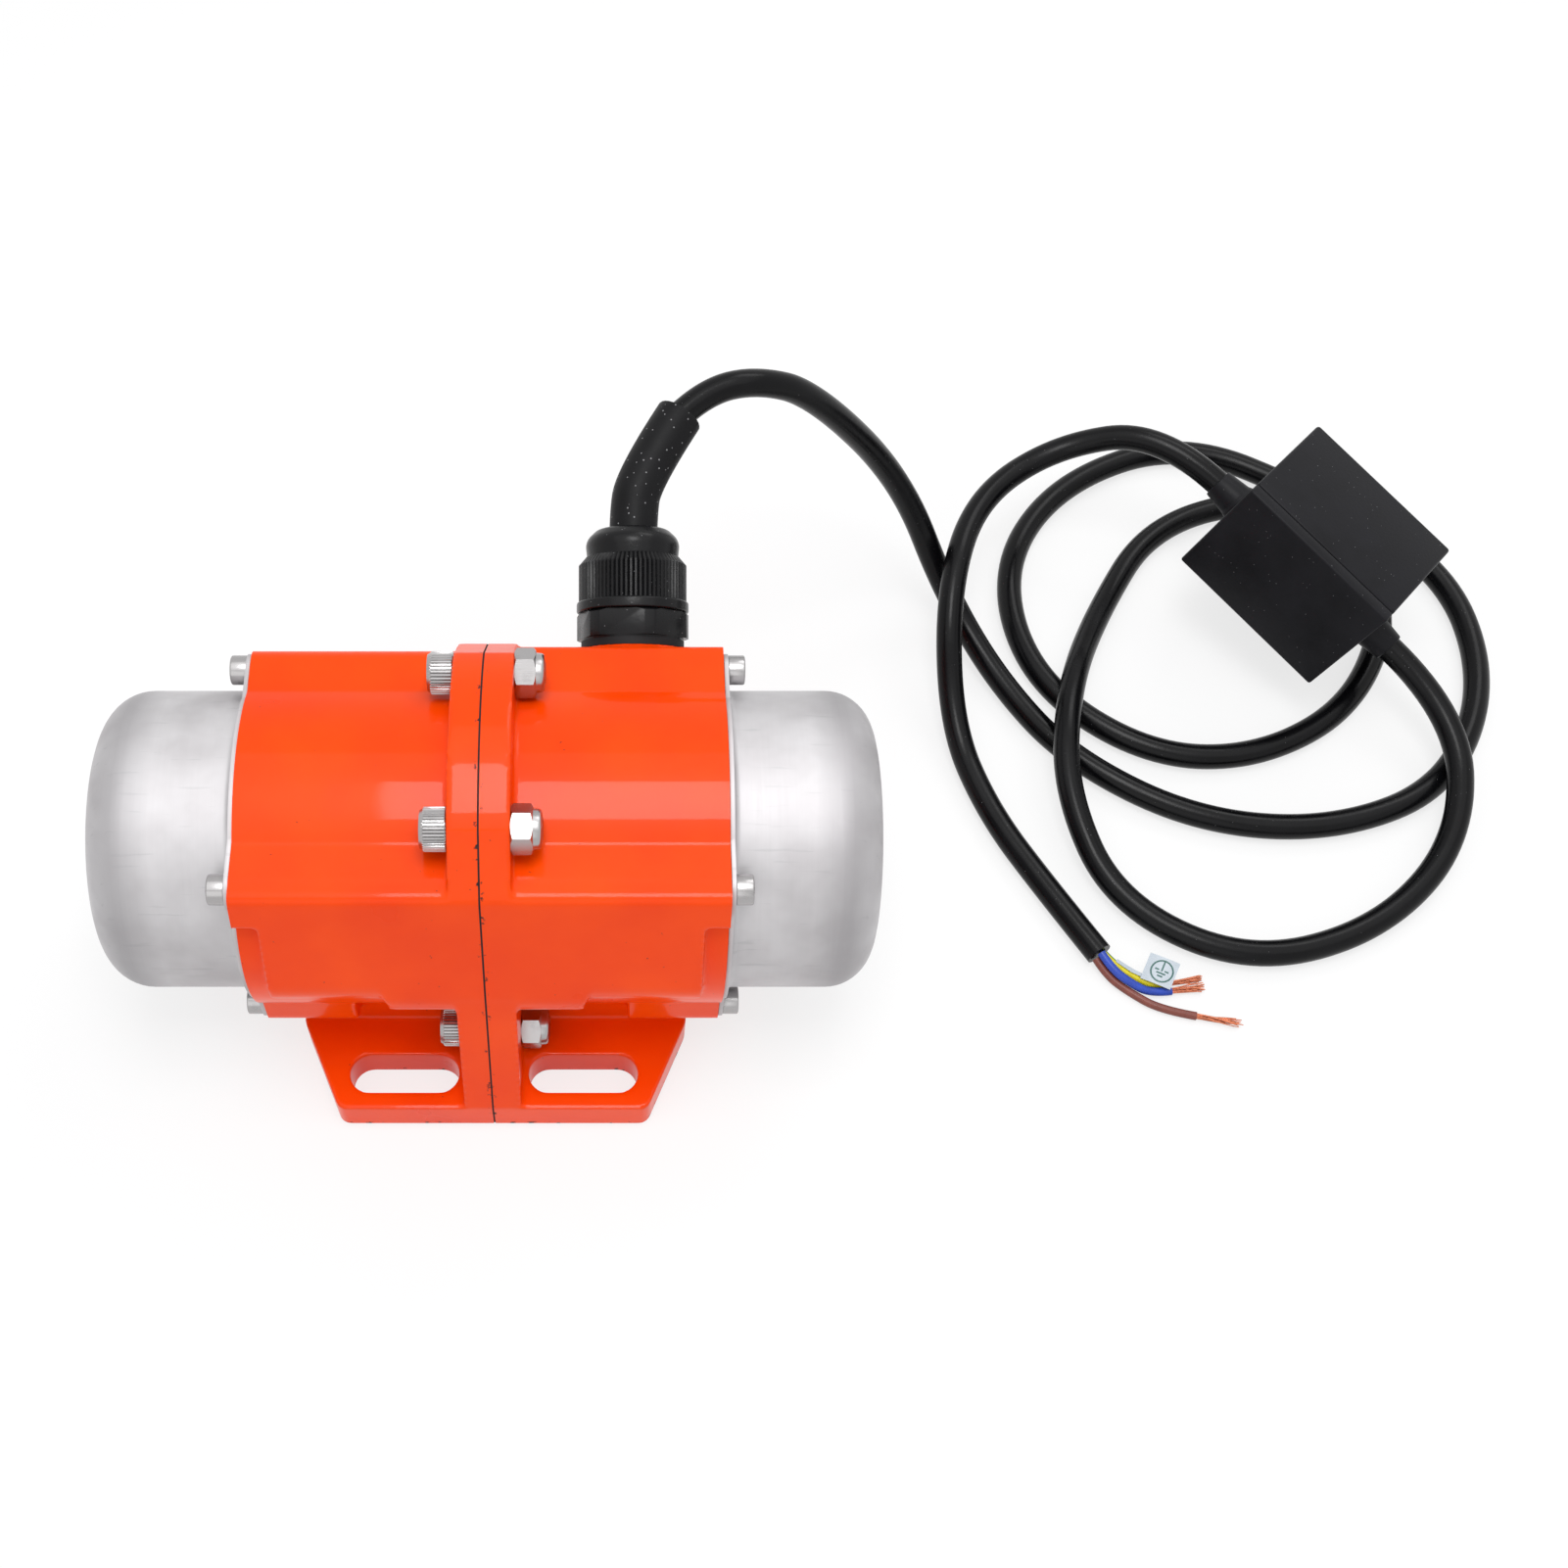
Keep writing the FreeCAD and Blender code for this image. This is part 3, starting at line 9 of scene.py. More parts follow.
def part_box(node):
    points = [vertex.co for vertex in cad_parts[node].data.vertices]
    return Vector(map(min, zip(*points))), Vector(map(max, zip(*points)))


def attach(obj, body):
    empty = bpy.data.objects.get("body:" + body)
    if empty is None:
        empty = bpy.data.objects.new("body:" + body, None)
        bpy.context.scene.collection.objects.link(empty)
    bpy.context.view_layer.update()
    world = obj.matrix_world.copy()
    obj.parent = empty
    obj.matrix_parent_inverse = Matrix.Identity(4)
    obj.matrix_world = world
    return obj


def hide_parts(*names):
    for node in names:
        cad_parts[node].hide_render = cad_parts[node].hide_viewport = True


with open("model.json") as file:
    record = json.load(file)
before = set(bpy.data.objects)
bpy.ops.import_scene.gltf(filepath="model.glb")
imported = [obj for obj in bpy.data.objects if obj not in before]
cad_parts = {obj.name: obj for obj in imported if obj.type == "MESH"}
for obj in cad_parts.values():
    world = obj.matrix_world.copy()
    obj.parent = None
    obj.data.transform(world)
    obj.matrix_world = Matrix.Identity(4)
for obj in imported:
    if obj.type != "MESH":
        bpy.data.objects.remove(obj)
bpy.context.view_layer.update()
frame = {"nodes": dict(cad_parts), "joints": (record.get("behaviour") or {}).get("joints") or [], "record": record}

mm = 0.001  # sizes below are millimetres, and the motor's heights are above or below its shaft
shaftHeight = frame["joints"][0]["pos_m"][2] / mm
nodes = frame["nodes"]
print("frame loaded:", len(nodes), "nodes, shaft at", round(shaftHeight, 2), "mm")


# workshop: small tools that the pieces below are made with

def deselect():
    if bpy.context.object and bpy.context.object.mode != "OBJECT":
        bpy.ops.object.mode_set(mode="OBJECT")
    bpy.ops.object.select_all(action="DESELECT")


def hold(piece):
    deselect()
    piece.select_set(True)
    bpy.context.view_layer.objects.active = piece


def fixed(piece):
    # makes a move, turn or mirroring part of the mesh, so that the piece stands at the origin
    bpy.ops.object.transform_apply(location=True, rotation=True, scale=True)
    return piece


def tidyNormals():
    bpy.ops.mesh.select_all(action="SELECT")
    bpy.ops.mesh.normals_make_consistent(inside=False)
    bpy.ops.object.mode_set(mode="OBJECT")


def placed(name, corners, fill="NGON"):
    # a flat loop with one vertex on each corner
    deselect()
    bpy.ops.mesh.primitive_circle_add(vertices=len(corners), radius=1, fill_type=fill)
    piece = bpy.context.object
    piece.name = name
    for vertex, corner in zip(piece.data.vertices, corners):
        vertex.co = Vector(corner) * mm
    bpy.ops.object.mode_set(mode="EDIT")
    bpy.ops.mesh.select_all(action="SELECT")
    return piece


def extruded(name, corners, shift):
    # a closed loop of points drawn out into a solid
    piece = placed(name, corners)
    bpy.ops.mesh.extrude_region_move(TRANSFORM_OT_translate={"value": Vector(shift) * mm})
    tidyNormals()
    return piece


def drawn(name, outline, stations):
    # an outline in (y, z) about the X axis, drawn along X and resized at each (x, share) station
    x, share = stations[0]
    piece = placed(name, [(x, y * share, z * share) for y, z in outline])
    for nextX, nextShare in stations[1:]:
        grow = nextShare / share
        bpy.ops.mesh.extrude_region_move(TRANSFORM_OT_translate={"value": ((nextX - x) * mm, 0, 0)})
        bpy.ops.transform.resize(value=(1, grow, grow), center_override=(nextX * mm, 0, 0))
        x, share = nextX, nextShare
    tidyNormals()
    return piece


def turned(name, profile, sides=96):
    # a closed outline of (along, radius) points turned about the X axis
    piece = placed(name, [(along, 0, radius) for along, radius in profile], fill="NOTHING")
    bpy.ops.mesh.spin(steps=sides, angle=2 * math.pi, center=(0, 0, 0), axis=(1, 0, 0))
    bpy.ops.mesh.select_all(action="SELECT")
    bpy.ops.mesh.remove_doubles(threshold=0.0008 * mm)
    bpy.ops.mesh.delete_loose()
    tidyNormals()
    return piece


def slab(name, low, high):
    # a block between two corners, started as a cube
    deselect()
    bpy.ops.mesh.primitive_cube_add(size=1)
    piece = bpy.context.object
    piece.name = name
    for vertex in piece.data.vertices:
        vertex.co = Vector([(high[i] if vertex.co[i] > 0 else low[i]) * mm for i in range(3)])
    return piece


def raised(piece):
    # from heights about the shaft to heights above the ground
    hold(piece)
    piece.location = (0, 0, shaftHeight * mm)
    return fixed(piece)


def softened(corners, steps=6):
    # corners are (across, up, radius); each radius becomes an arc that touches both its sides
    points = []
    for i, (across, up, radius) in enumerate(corners):
        corner = Vector((across, up))
        if not radius:
            points.append(tuple(corner))
            continue
        before = (Vector(corners[i - 1][:2]) - corner).normalized()
        after = (Vector(corners[(i + 1) % len(corners)][:2]) - corner).normalized()
        half = before.angle(after) / 2
        centre = corner + (before + after).normalized() * radius / math.sin(half)
        start = corner + before * radius / math.tan(half) - centre
        stop = corner + after * radius / math.tan(half) - centre
        begin = math.atan2(start.y, start.x)
        sweep = (math.atan2(stop.y, stop.x) - begin + math.pi) % (2 * math.pi) - math.pi
        for step in range(steps + 1):
            angle = begin + sweep * step / steps
            points.append((centre.x + radius * math.cos(angle), centre.y + radius * math.sin(angle)))
    return points


def arc(radius, start, stop, steps):
    # points of a circle about the axis, between two angles in degrees
    angles = [math.radians(start + (stop - start) * i / steps) for i in range(steps + 1)]
    return [(radius * math.cos(angle), radius * math.sin(angle)) for angle in angles]


def toothed(count, outer, inner, land=0.5):
    # a round outline with small straight teeth
    points = []
    for i in range(count):
        for share, radius in ((0.0, inner), (0.5 - land / 2, outer), (0.5 + land / 2, outer)):
            angle = 2 * math.pi * (i + share) / count
            points.append((radius * math.cos(angle), radius * math.sin(angle)))
    return points


def hexagon(flats, offset=0.0):
    return arc(flats / math.sqrt(3), offset, offset + 300, 5)


def applied(piece, kind, **settings):
    hold(piece)
    change = piece.modifiers.new(kind.lower(), kind)
    for key, value in settings.items():
        setattr(change, key, value)
    bpy.ops.object.modifier_apply(modifier=change.name)
    return piece


def combined(piece, other, operation="DIFFERENCE"):
    applied(piece, "BOOLEAN", object=other, operation=operation, solver="MANIFOLD")
    bpy.data.objects.remove(other)
    return piece


def settled(piece, origin=(0, 0, 0), direction=(1, 0, 0), roll=0.0, upright="Z"):
    # stands a piece that was built along +X on a point, facing another way
    hold(piece)
    piece.rotation_mode = "QUATERNION"
    turn = Vector(direction).to_track_quat("X", upright)
    piece.rotation_quaternion = turn @ Quaternion((1, 0, 0), math.radians(roll))
    piece.location = Vector(origin) * mm
    return fixed(piece)


def turnOf(degrees):
    yaw, pitch, lean = (math.radians(angle) for angle in degrees)
    return (Matrix.Rotation(yaw, 4, "Z") @ Matrix.Rotation(pitch, 4, "Y")
            @ Matrix.Rotation(lean, 4, "X"))


def carried(piece, place, turn):
    # turns a piece about its own origin and takes it to a place
    hold(piece)
    piece.matrix_world = Matrix.Translation(Vector(place) * mm) @ turn
    return fixed(piece)


def copied(piece, name):
    twin = piece.copy()
    twin.data = piece.data.copy()
    twin.name = name
    bpy.context.scene.collection.objects.link(twin)
    return twin


def joined(pieces, name):
    hold(pieces[0])
    for piece in pieces[1:]:
        piece.select_set(True)
    bpy.ops.object.join()
    pieces[0].name = name
    return pieces[0]


def mirrored(piece, name):
    # the other hand of a piece, across the joint between the halves
    twin = copied(piece, name)
    hold(twin)
    twin.scale = (-1, 1, 1)
    fixed(twin)
    bpy.ops.object.mode_set(mode="EDIT")
    tidyNormals()
    return twin


def rounded(piece, width, segments=2, angle=35):
    return applied(piece, "BEVEL", width=width * mm, segments=segments, limit_method="ANGLE",
                   angle_limit=math.radians(angle), harden_normals=False)


def finished(piece, slot, replaces=(), smooth=30, material=None):
    # edges sharper than smooth, in degrees, stay sharp; the material is the slot's own if none is given
    if piece.type == "MESH":
        hold(piece)
        bpy.ops.object.shade_smooth_by_angle(angle=math.radians(smooth))
    piece.data.materials.clear()
    piece.data.materials.append(material or looks[slot])
    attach(piece, "motor")
    if replaces:
        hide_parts(*replaces)
    return piece


# materials

class Value:
    # a number or colour on its way between two nodes, so that shader maths reads as plain arithmetic
    def __init__(self, board, socket):
        self.board = board
        self.socket = socket

    def worked(self, operation, first, second):
        return self.board.add("Math", {0: first, 1: second}, operation=operation)

    def __add__(self, other):
        return self.worked("ADD", self, other)

    def __sub__(self, other):
        return self.worked("SUBTRACT", self, other)

    def __rsub__(self, other):
        return self.worked("SUBTRACT", other, self)

    def __mul__(self, other):
        return self.worked("MULTIPLY", self, other)

    __radd__ = __add__
    __rmul__ = __mul__

    def size(self):
        return self.worked("ABSOLUTE", self, 0.0)

    def larger(self, other):
        return self.worked("MAXIMUM", self, other)

    def between(self, low, high, start=0.0, stop=1.0):
        # start below low, stop above high, and a slope between them
        return self.board.add("MapRange", {0: self, 1: low, 2: high, 3: start, 4: stop}, clamp=True)


class Board:
    # one procedural material, laid out node by node
    def __init__(self, name, tree=None):
        if tree is None:
            self.material = bpy.data.materials.new(name)
            self.material.use_nodes = True
            tree = self.material.node_tree
        self.tree = tree
        self.tree.nodes.clear()

    def add(self, kind, inputs=None, output=0, **settings):
        node = self.tree.nodes.new("ShaderNode" + kind)
        for key, value in settings.items():
            setattr(node, key, value)
        for key, value in (inputs or {}).items():
            if isinstance(value, Value):
                self.tree.links.new(value.socket, node.inputs[key])
            else:
                node.inputs[key].default_value = value
        return Value(self, node.outputs[output]) if len(node.outputs) else None

    def place(self):
        return self.add("TexCoord", output="Object")

    def along(self, axis):
        return self.add("SeparateXYZ", {0: self.place()}, axis)

    def stretched(self, scale):
        # the place with each axis scaled, which draws a pattern out along one of them
        return self.add("Mapping", {"Vector": self.place(), "Scale": scale})

    def noise(self, scale, detail=2.0, roughness=0.5, place=None):
        return self.add("TexNoise", {"Vector": place or self.place(), "Scale": scale,
                                     "Detail": detail, "Roughness": roughness})

    def cells(self, scale):
        return self.add("TexVoronoi", {"Vector": self.place(), "Scale": scale})

    def blend(self, share, first, second):
        return self.add("Mix", {0: share, 6: first, 7: second}, 2, data_type="RGBA")

    def bump(self, height, distance):
        return self.add("Bump", {"Height": height, "Distance": distance * mm})

    def looking(self):
        # 1 for the rays of the camera, mirrors and clear things, 0 for the light on matt ones
        camera, glossy, clear = (self.add("LightPath", output=f"Is {kind} Ray")
                                 for kind in ("Camera", "Glossy", "Transmission"))
        return camera.larger(glossy).larger(clear)

    def done(self, sockets):
        shader = self.add("BsdfPrincipled", sockets)
        self.add("OutputMaterial", {"Surface": shader})
        return self.material


def colour(red, green, blue):
    return (red, green, blue, 1.0)


def shade(tone, share):
    return colour(*[part * share for part in tone])


# what a user would change about the finishes; scales are patterns per metre, depths millimetres
enamelLook = {
    "deep": colour(0.86, 0.050, 0.0), "bright": colour(0.94, 0.070, 0.0),
    "chip": colour(0.045, 0.028, 0.026), "cloud": 40, "peel": 620, "peelDepth": 0.012,
    "cast": 150, "castDepth": 0.09, "roughness": 0.24, "coat": 0.24, "coatRoughness": 0.05,
    "reflection": 0.06,
}
sheetLook = {
    "dull": colour(0.47, 0.455, 0.465), "clean": colour(0.57, 0.56, 0.57),
    "scratch": colour(0.34, 0.34, 0.35), "roughness": (0.54, 0.64), "rings": 1500, "ringDepth": 0.012,
    # the band colour and its reaches below are a painted dark reflection, a darker ring across the cap's bend
    "band": colour(0.30, 0.29, 0.30), "darkReflectionRise": (75, 82), "darkReflectionFall": (84, 90), "darkReflectionShare": 0.55,
}


def orangeEnamel():
    look = enamelLook
    board = Board("orange_enamel")
    cloud = board.noise(look["cloud"], 3)
    peel = board.noise(look["peel"], 2)
    cast = board.noise(look["cast"], 3)
    atSeam = board.along(0).size().between(0.5 * mm, 1.3 * mm, 1.0, 0.0)
    atGround = board.along(2).between(0.4 * mm, 1.6 * mm, 1.0, 0.0)
    chips = atSeam.larger(atGround) * board.noise(420, 4, 0.6).between(0.61, 0.64)
    specks = board.noise(900, 1).between(0.79, 0.81)
    coatColour = board.blend(cloud.between(0.3, 0.7), look["deep"], look["bright"])
    marks = chips.larger(specks * 0.6)
    return board.done({
        "Base Color": board.blend(marks, coatColour, look["chip"]),
        "Roughness": cloud * 0.10 + (look["roughness"] + 0.4 * chips),
        "Normal": board.bump(peel * look["peelDepth"] + cast * look["castDepth"] - marks * 0.05, 1.0),
        "Coat Weight": (1.0 - marks) * look["coat"],
        "Coat Roughness": look["coatRoughness"],
        "Specular IOR Level": look["reflection"],
    })


def drawnSheet():
    # satin aluminium with rings left by the press tool, finger smudges, and a painted dark reflection as a band at
    # the bend
    look = sheetLook
    board = Board("drawn_sheet")
    rings = board.noise(look["rings"], 4, 0.6, board.stretched((1.0, 0.03, 0.03)))
    smudge = board.noise(55, 3, 0.6)
    scratches = board.noise(900, 2, 0.5, board.stretched((0.08, 1.0, 0.6))).between(0.66, 0.72)
    tone = board.blend(smudge.between(0.35, 0.65), look["dull"], look["clean"])
    reach = board.along(0).size()
    rise, fall = ([place * mm for place in look[side]] for side in ("darkReflectionRise", "darkReflectionFall"))
    # painted dark reflection: the tone turns darker in a ring where the cap bends
    band = reach.between(*rise) * reach.between(*fall, 1.0, 0.0)
    tone = board.blend(band * look["darkReflectionShare"], tone, look["band"])
    return board.done({
        "Base Color": board.blend(scratches * 0.25, tone, look["scratch"]),
        "Metallic": 1.0,
        "Roughness": smudge.between(0.3, 0.7, *look["roughness"]) + rings * 0.08,
        "Normal": board.bump(rings * look["ringDepth"] + smudge * 0.05, 1.0),
    })


def machinedMetal(name, tone, roughness, grain=(0.05, 1.0, 1.0), depth=0.01, spots=0.1):
    # turned or ground metal: a fine grain one way, with a few darker spots
    board = Board(name)
    cut = board.noise(2200, 3, 0.6, board.stretched(grain))
    cloud = board.noise(240, 2)
    spotted = cloud.between(0.55, 0.8, 0.0, spots * 5)
    return board.done({
        "Base Color": board.blend(spotted, colour(*tone), shade(tone, 0.55)),
        "Metallic": 1.0,
        "Roughness": cloud * 0.14 + (cut * 0.08 + roughness),
        "Normal": board.bump(cut, depth),
    })


def mouldedBlack(name, tone, roughness, grain, depth, dust=0.0, level=0.22):
    # dark plastic or rubber with its moulded grain; dust is how far pale specks reach in their cells,
    # and level is how strongly the surface mirrors
    board = Board(name)
    grains = board.noise(grain, 3, 0.6)
    cloud = board.noise(70, 3, 0.6)
    base = board.blend(cloud.between(0.3, 0.7), shade(tone, 0.75), shade(tone, 1.3))
    if dust:
        specks = board.cells(520 + 1500 * dust).between(dust, dust * 1.4, 1.0, 0.0)
        base = board.blend(specks * 0.8, base, colour(0.30, 0.30, 0.31))
    return board.done({
        "Base Color": base,
        "Roughness": cloud.between(0.3, 0.7, roughness - 0.05, roughness + 0.08) + grains * 0.06,
        "Normal": board.bump(grains, depth),
        "Specular IOR Level": level,
    })


def insulation(name, tone, second=None):
    # wire covering; a second colour runs along it in two stripes
    board = Board(name)
    scuff = board.noise(420, 3, 0.6)
    base = board.blend(scuff.between(0.3, 0.7), shade(tone, 0.82), shade(tone, 1.1))
    if second:
        around = board.add("Attribute", output="Fac", attribute_name="around")
        base = board.blend(around.between(0.48, 0.52), base, colour(*second))
    return board.done({
        "Base Color": base,
        "Roughness": scuff.between(0.3, 0.7, 0.30, 0.42),
        "Normal": board.bump(scuff, 0.02),
        "Specular IOR Level": 0.4,
    })


def plainFilm(name, tone, roughness):
    board = Board(name)
    cloud = board.noise(300, 2)
    return board.done({
        "Base Color": board.blend(cloud.between(0.3, 0.7), shade(tone, 0.92), colour(*tone)),
        "Roughness": cloud * 0.1 + roughness,
        "Normal": board.bump(cloud, 0.01),
    })


def stackedSheets(name, tone):
    # a pack of thin steel sheets, seen as fine lines across the shaft
    board = Board(name)
    sheets = board.add("TexWave", {"Vector": board.place(), "Scale": 320.0, "Distortion": 0.4,
                                   "Detail": 2.0}, bands_direction="X")
    return board.done({
        "Base Color": board.blend(sheets, shade(tone, 0.5), colour(*tone)),
        "Metallic": 0.8,
        "Roughness": sheets * 0.1 + 0.42,
        "Normal": board.bump(sheets, 0.04),
    })


looks = {
    "orange_paint": orangeEnamel(),
    "cap_sheet": drawnSheet(),
    "stainless": machinedMetal("stainless", (0.40, 0.39, 0.39), 0.14),
    "shaft_steel": machinedMetal("ground_steel", (0.50, 0.50, 0.51), 0.22, (1.0, 0.05, 0.05)),
    "bearing_steel": machinedMetal("bearing_steel", (0.62, 0.62, 0.63), 0.12, (1.0, 0.05, 0.05)),
    "spring_steel": machinedMetal("blued_steel", (0.14, 0.14, 0.17), 0.35),
    "weight_steel": machinedMetal("sawn_steel", (0.34, 0.34, 0.35), 0.40, (1.0, 1.0, 0.06), 0.05),
    "core_steel": stackedSheets("core_sheets", (0.26, 0.26, 0.27)),
    "cage_aluminium": machinedMetal("cast_cage", (0.66, 0.66, 0.66), 0.42, (1.0, 1.0, 1.0), 0.05),
    "winding_copper": machinedMetal("winding_copper", (0.62, 0.22, 0.08), 0.30, (0.05, 1.0, 1.0), 0.12),
    "bare_copper": machinedMetal("bare_copper", (0.55, 0.19, 0.105), 0.28, (1.0, 1.0, 1.0), 0.01, 0.2),
    "dark_gasket": mouldedBlack("dark_gasket", (0.018, 0.018, 0.020), 0.75, 900, 0.04),
    "seal_rubber": mouldedBlack("seal_rubber", (0.008, 0.008, 0.009), 0.55, 700, 0.03),
    "gland_nylon": mouldedBlack("gland_nylon", (0.0045, 0.0045, 0.0052), 0.22, 950, 0.035, 0.05, 0.20),
    "cable_jacket": mouldedBlack("cable_jacket", (0.0026, 0.0026, 0.0032), 0.21, 800, 0.02, 0.035, 0.16),
    "sleeve_plastic": mouldedBlack("sleeve_plastic", (0.0055, 0.0055, 0.0062), 0.44, 620, 0.05, 0.11,
                                   0.14),
    "box_plastic": mouldedBlack("box_plastic", (0.0075, 0.0075, 0.0095), 0.38, 1100, 0.03, 0.04, 0.14),
    "capacitor_case": plainFilm("capacitor_case", (0.85, 0.85, 0.82), 0.30),
    "blue_insulation": insulation("blue_insulation", (0.022, 0.065, 0.44)),
    "brown_insulation": insulation("brown_insulation", (0.20, 0.050, 0.035)),
    "earth_insulation": insulation("earth_insulation", (0.78, 0.66, 0.015), (0.02, 0.22, 0.05)),
    "lead_insulation": plainFilm("lead_insulation", (0.72, 0.68, 0.56), 0.6),
    "tag_card": plainFilm("tag_film", (0.50, 0.56, 0.62), 0.34),
}
tagInk = plainFilm("tag_ink", (0.012, 0.10, 0.085), 0.4)

for part in frame["record"]["subparts"]:
    surface = nodes[part["node"]].data.materials
    surface.clear()
    surface.append(looks[part["material_slot"]])
print("materials laid out:", len(looks))


# camera

camera = {"place": (26.8, -234.5, 470.5), "tilt": 29.2, "lens": 45.49, "sensor": 36.0,
          "shift": (0.1165, 0.0351)}
eye = bpy.data.cameras.new("view")
eye.sensor_width = camera["sensor"]
eye.lens = camera["lens"]
eye.shift_x, eye.shift_y = camera["shift"]
eye.clip_start = 0.01
viewer = bpy.data.objects.new("view", eye)
viewer.location = Vector(camera["place"]) * mm
viewer.rotation_euler = (math.radians(camera["tilt"]), 0, 0)
bpy.context.scene.collection.objects.link(viewer)
bpy.context.scene.camera = viewer


# cords: the cable from the gland into the in-line box, and the one that leaves it

glandSizes = {"across": 34.4, "tilt": 28.0, "seat": 46.0}
glandTilt = math.radians(glandSizes["tilt"])
glandWay = Vector((0, math.cos(glandTilt), math.sin(glandTilt)))


def glandPoint(out):
    return Vector((glandSizes["across"], 0, shaftHeight)) + glandWay * out


boxSizes = {
    "long": 49.0, "wide": 39.0, "high": 33.5, "wall": 2.5, "lid": 4.0, "gap": 0.26, "edge": 0.9,
    "lidEdge": 0.7, "spigot": 2.9, "collar": 4.9, "collarTip": 4.1, "collarLong": 8.0, "collarDrop": 5.0,
    "centre": (222.3, 98.8, 34.0), "turn": (-44.3, 14.9, -11.2),
}
boxTurn = turnOf(boxSizes["turn"])


def collarPoint(along):
    # a point on the line through both collars, measured from the middle of the box
    return Vector(boxSizes["centre"]) + boxTurn @ Vector((along, 0, -boxSizes["collarDrop"]))


cable = {"radius": 3.5, "lying": 3.6}
lying = cable["lying"]
collarTip = boxSizes["long"] / 2 + boxSizes["collarLong"]
sleeveTip = Vector((46, 93.7, 96.3))
motorCableRoute = [
    sleeveTip, (52.5, 100.0, 98.0), (65, 103.7, 98.2), (80.5, 108.5, 88), (108.6, 116, 46),
    (125, 103, 11), (139, 77, lying), (156, 52, lying), (188, 32, lying), (225, 29, lying),
    (259, 43, lying), (277, 78, lying),
    (273, 117, lying), (240, 144, lying), (203, 165, lying), (164, 149, lying), (143, 117, lying),
    (148, 78, lying), (177, 53, lying), (209, 52, lying), (240, 71, lying), (256, 109, lying),
    (230, 144, lying), (190, 134, lying), (168, 98, 4.5), (155, 66, 14), (152, 37, 10),
    (163, 7, lying), (195, -11, lying), (232, -1, lying), (257, 24, 8),
    collarPoint(collarTip + 26), collarPoint(collarTip),
]
supplyCableRoute = [
    collarPoint(-collarTip), (182.6, 134.5, 43.6), (157, 140, 31), (133, 123.5, 28),
    (122.3, 92, 27), (124, 62, 5), (132, 35, lying), (146, 10, lying), (157, -8, lying),
]


def strung(name, routes, radius, sides=8, smoothness=14):
    # one smooth round line or several along points that pull it their way
    line = bpy.data.curves.new(name, "CURVE")
    line.dimensions = "3D"
    line.bevel_depth = radius * mm
    line.bevel_resolution = sides
    line.resolution_u = smoothness
    line.use_fill_caps = True
    for route in routes:
        spline = line.splines.new("NURBS")
        spline.points.add(len(route) - 1)
        for point, where in zip(spline.points, route):
            point.co = (*(Vector(where) * mm), 1.0)
        spline.order_u = 3
        spline.use_endpoint_u = True
    piece = bpy.data.objects.new(name, line)
    bpy.context.scene.collection.objects.link(piece)
    return piece


def meshed(line):
    hold(line)
    bpy.ops.object.convert(target="MESH")
    return line


motorCable = strung("motor_cable_cord", [motorCableRoute], cable["radius"])
finished(motorCable, "cable_jacket", ["motor_cable"])
supplyCable = strung("supply_cable_cord", [supplyCableRoute], cable["radius"])
finished(supplyCable, "cable_jacket", ["supply_cable"])
print("cords strung")


# housing halves

halfLow, halfHigh = (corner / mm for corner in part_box("housing_right"))
padTop, padFoot = (35.4, 30.5), (43.1, 2.9)  # where the faceplate bends, as (out, up)
housing = {
    "seam": halfLow.x, "end": halfHigh.x + 0.35, "barrel": 39.6,
    "block": 34.0, "blockRound": 5.0, "glandSideRound": 2.4, "lowerBoss": 33.2, "flange": 7.0,
    "crownRadius": halfHigh.z - shaftHeight, "crownHalf": 23.4,
    "baseHalf": halfHigh.y, "baseThick": 10.0, "baseTip": 38.2, "baseRoot": 48.2, "baseRootOut": 30.0,
    "web": 28.5, "slotAt": (22.3, 44.1), "slot": (27.2, 10.2),
    "boss": 12.9, "bossStart": 30, "bore": 35.55, "boreEnd": 22.1, "cavity": 33.0, "endWall": 6,
    "hub": 22.0, "bearing": 17.5, "bearingStart": 41.0, "shaftHole": 9.0, "shaftWall": 2.4,
    "glandHole": (10.05, 24, 48),
    "voxel": 0.58, "passes": 3, "spare": 2.2, "gasket": 0.44,
}


def padProfile(top):
    # a faceplate leaning back at the top and rolling under at the foot, on the +Y side
    topOut, topUp = padTop
    footOut, footUp = padFoot
    roll, under = -4.0, -9.0
    lean = (footOut - topOut) / (topUp - footUp)
    return softened([(24, top, 0), (footOut - lean * (top - footUp), top, 2.8 if top > 30 else 2.5),
                     (footOut + lean * (footUp - roll), roll, 10.0), (28, under, 0)], 10)


def pad(name, side, top, shift, window):
    # the profile drawn along the shaft and trimmed to a window seen from the front
    outward, downward = shift
    profile = [(side * (y + outward), z + downward) for y, z in padProfile(top)]
    plate = drawn(name, profile, [(window[0][0], 1), (max(x for x, z in window) + 1, 1)])
    frameBlock = extruded(name + "_window", [(x, side * 15, z) for x, z in window], (0, side * 45, 0))
    return combined(plate, frameBlock, "INTERSECT")


def slotOutline(sizes, centre):
    # a long hole with round ends, in (x, y)
    long, wide = sizes
    reach = (long - wide) / 2
    ends = [(x + reach, y) for x, y in arc(wide / 2, -90, 90, 16)]
    ends += [(x - reach, y) for x, y in arc(wide / 2, 90, 270, 16)]
    return [(centre[0] + x, centre[1] + y) for x, y in ends]


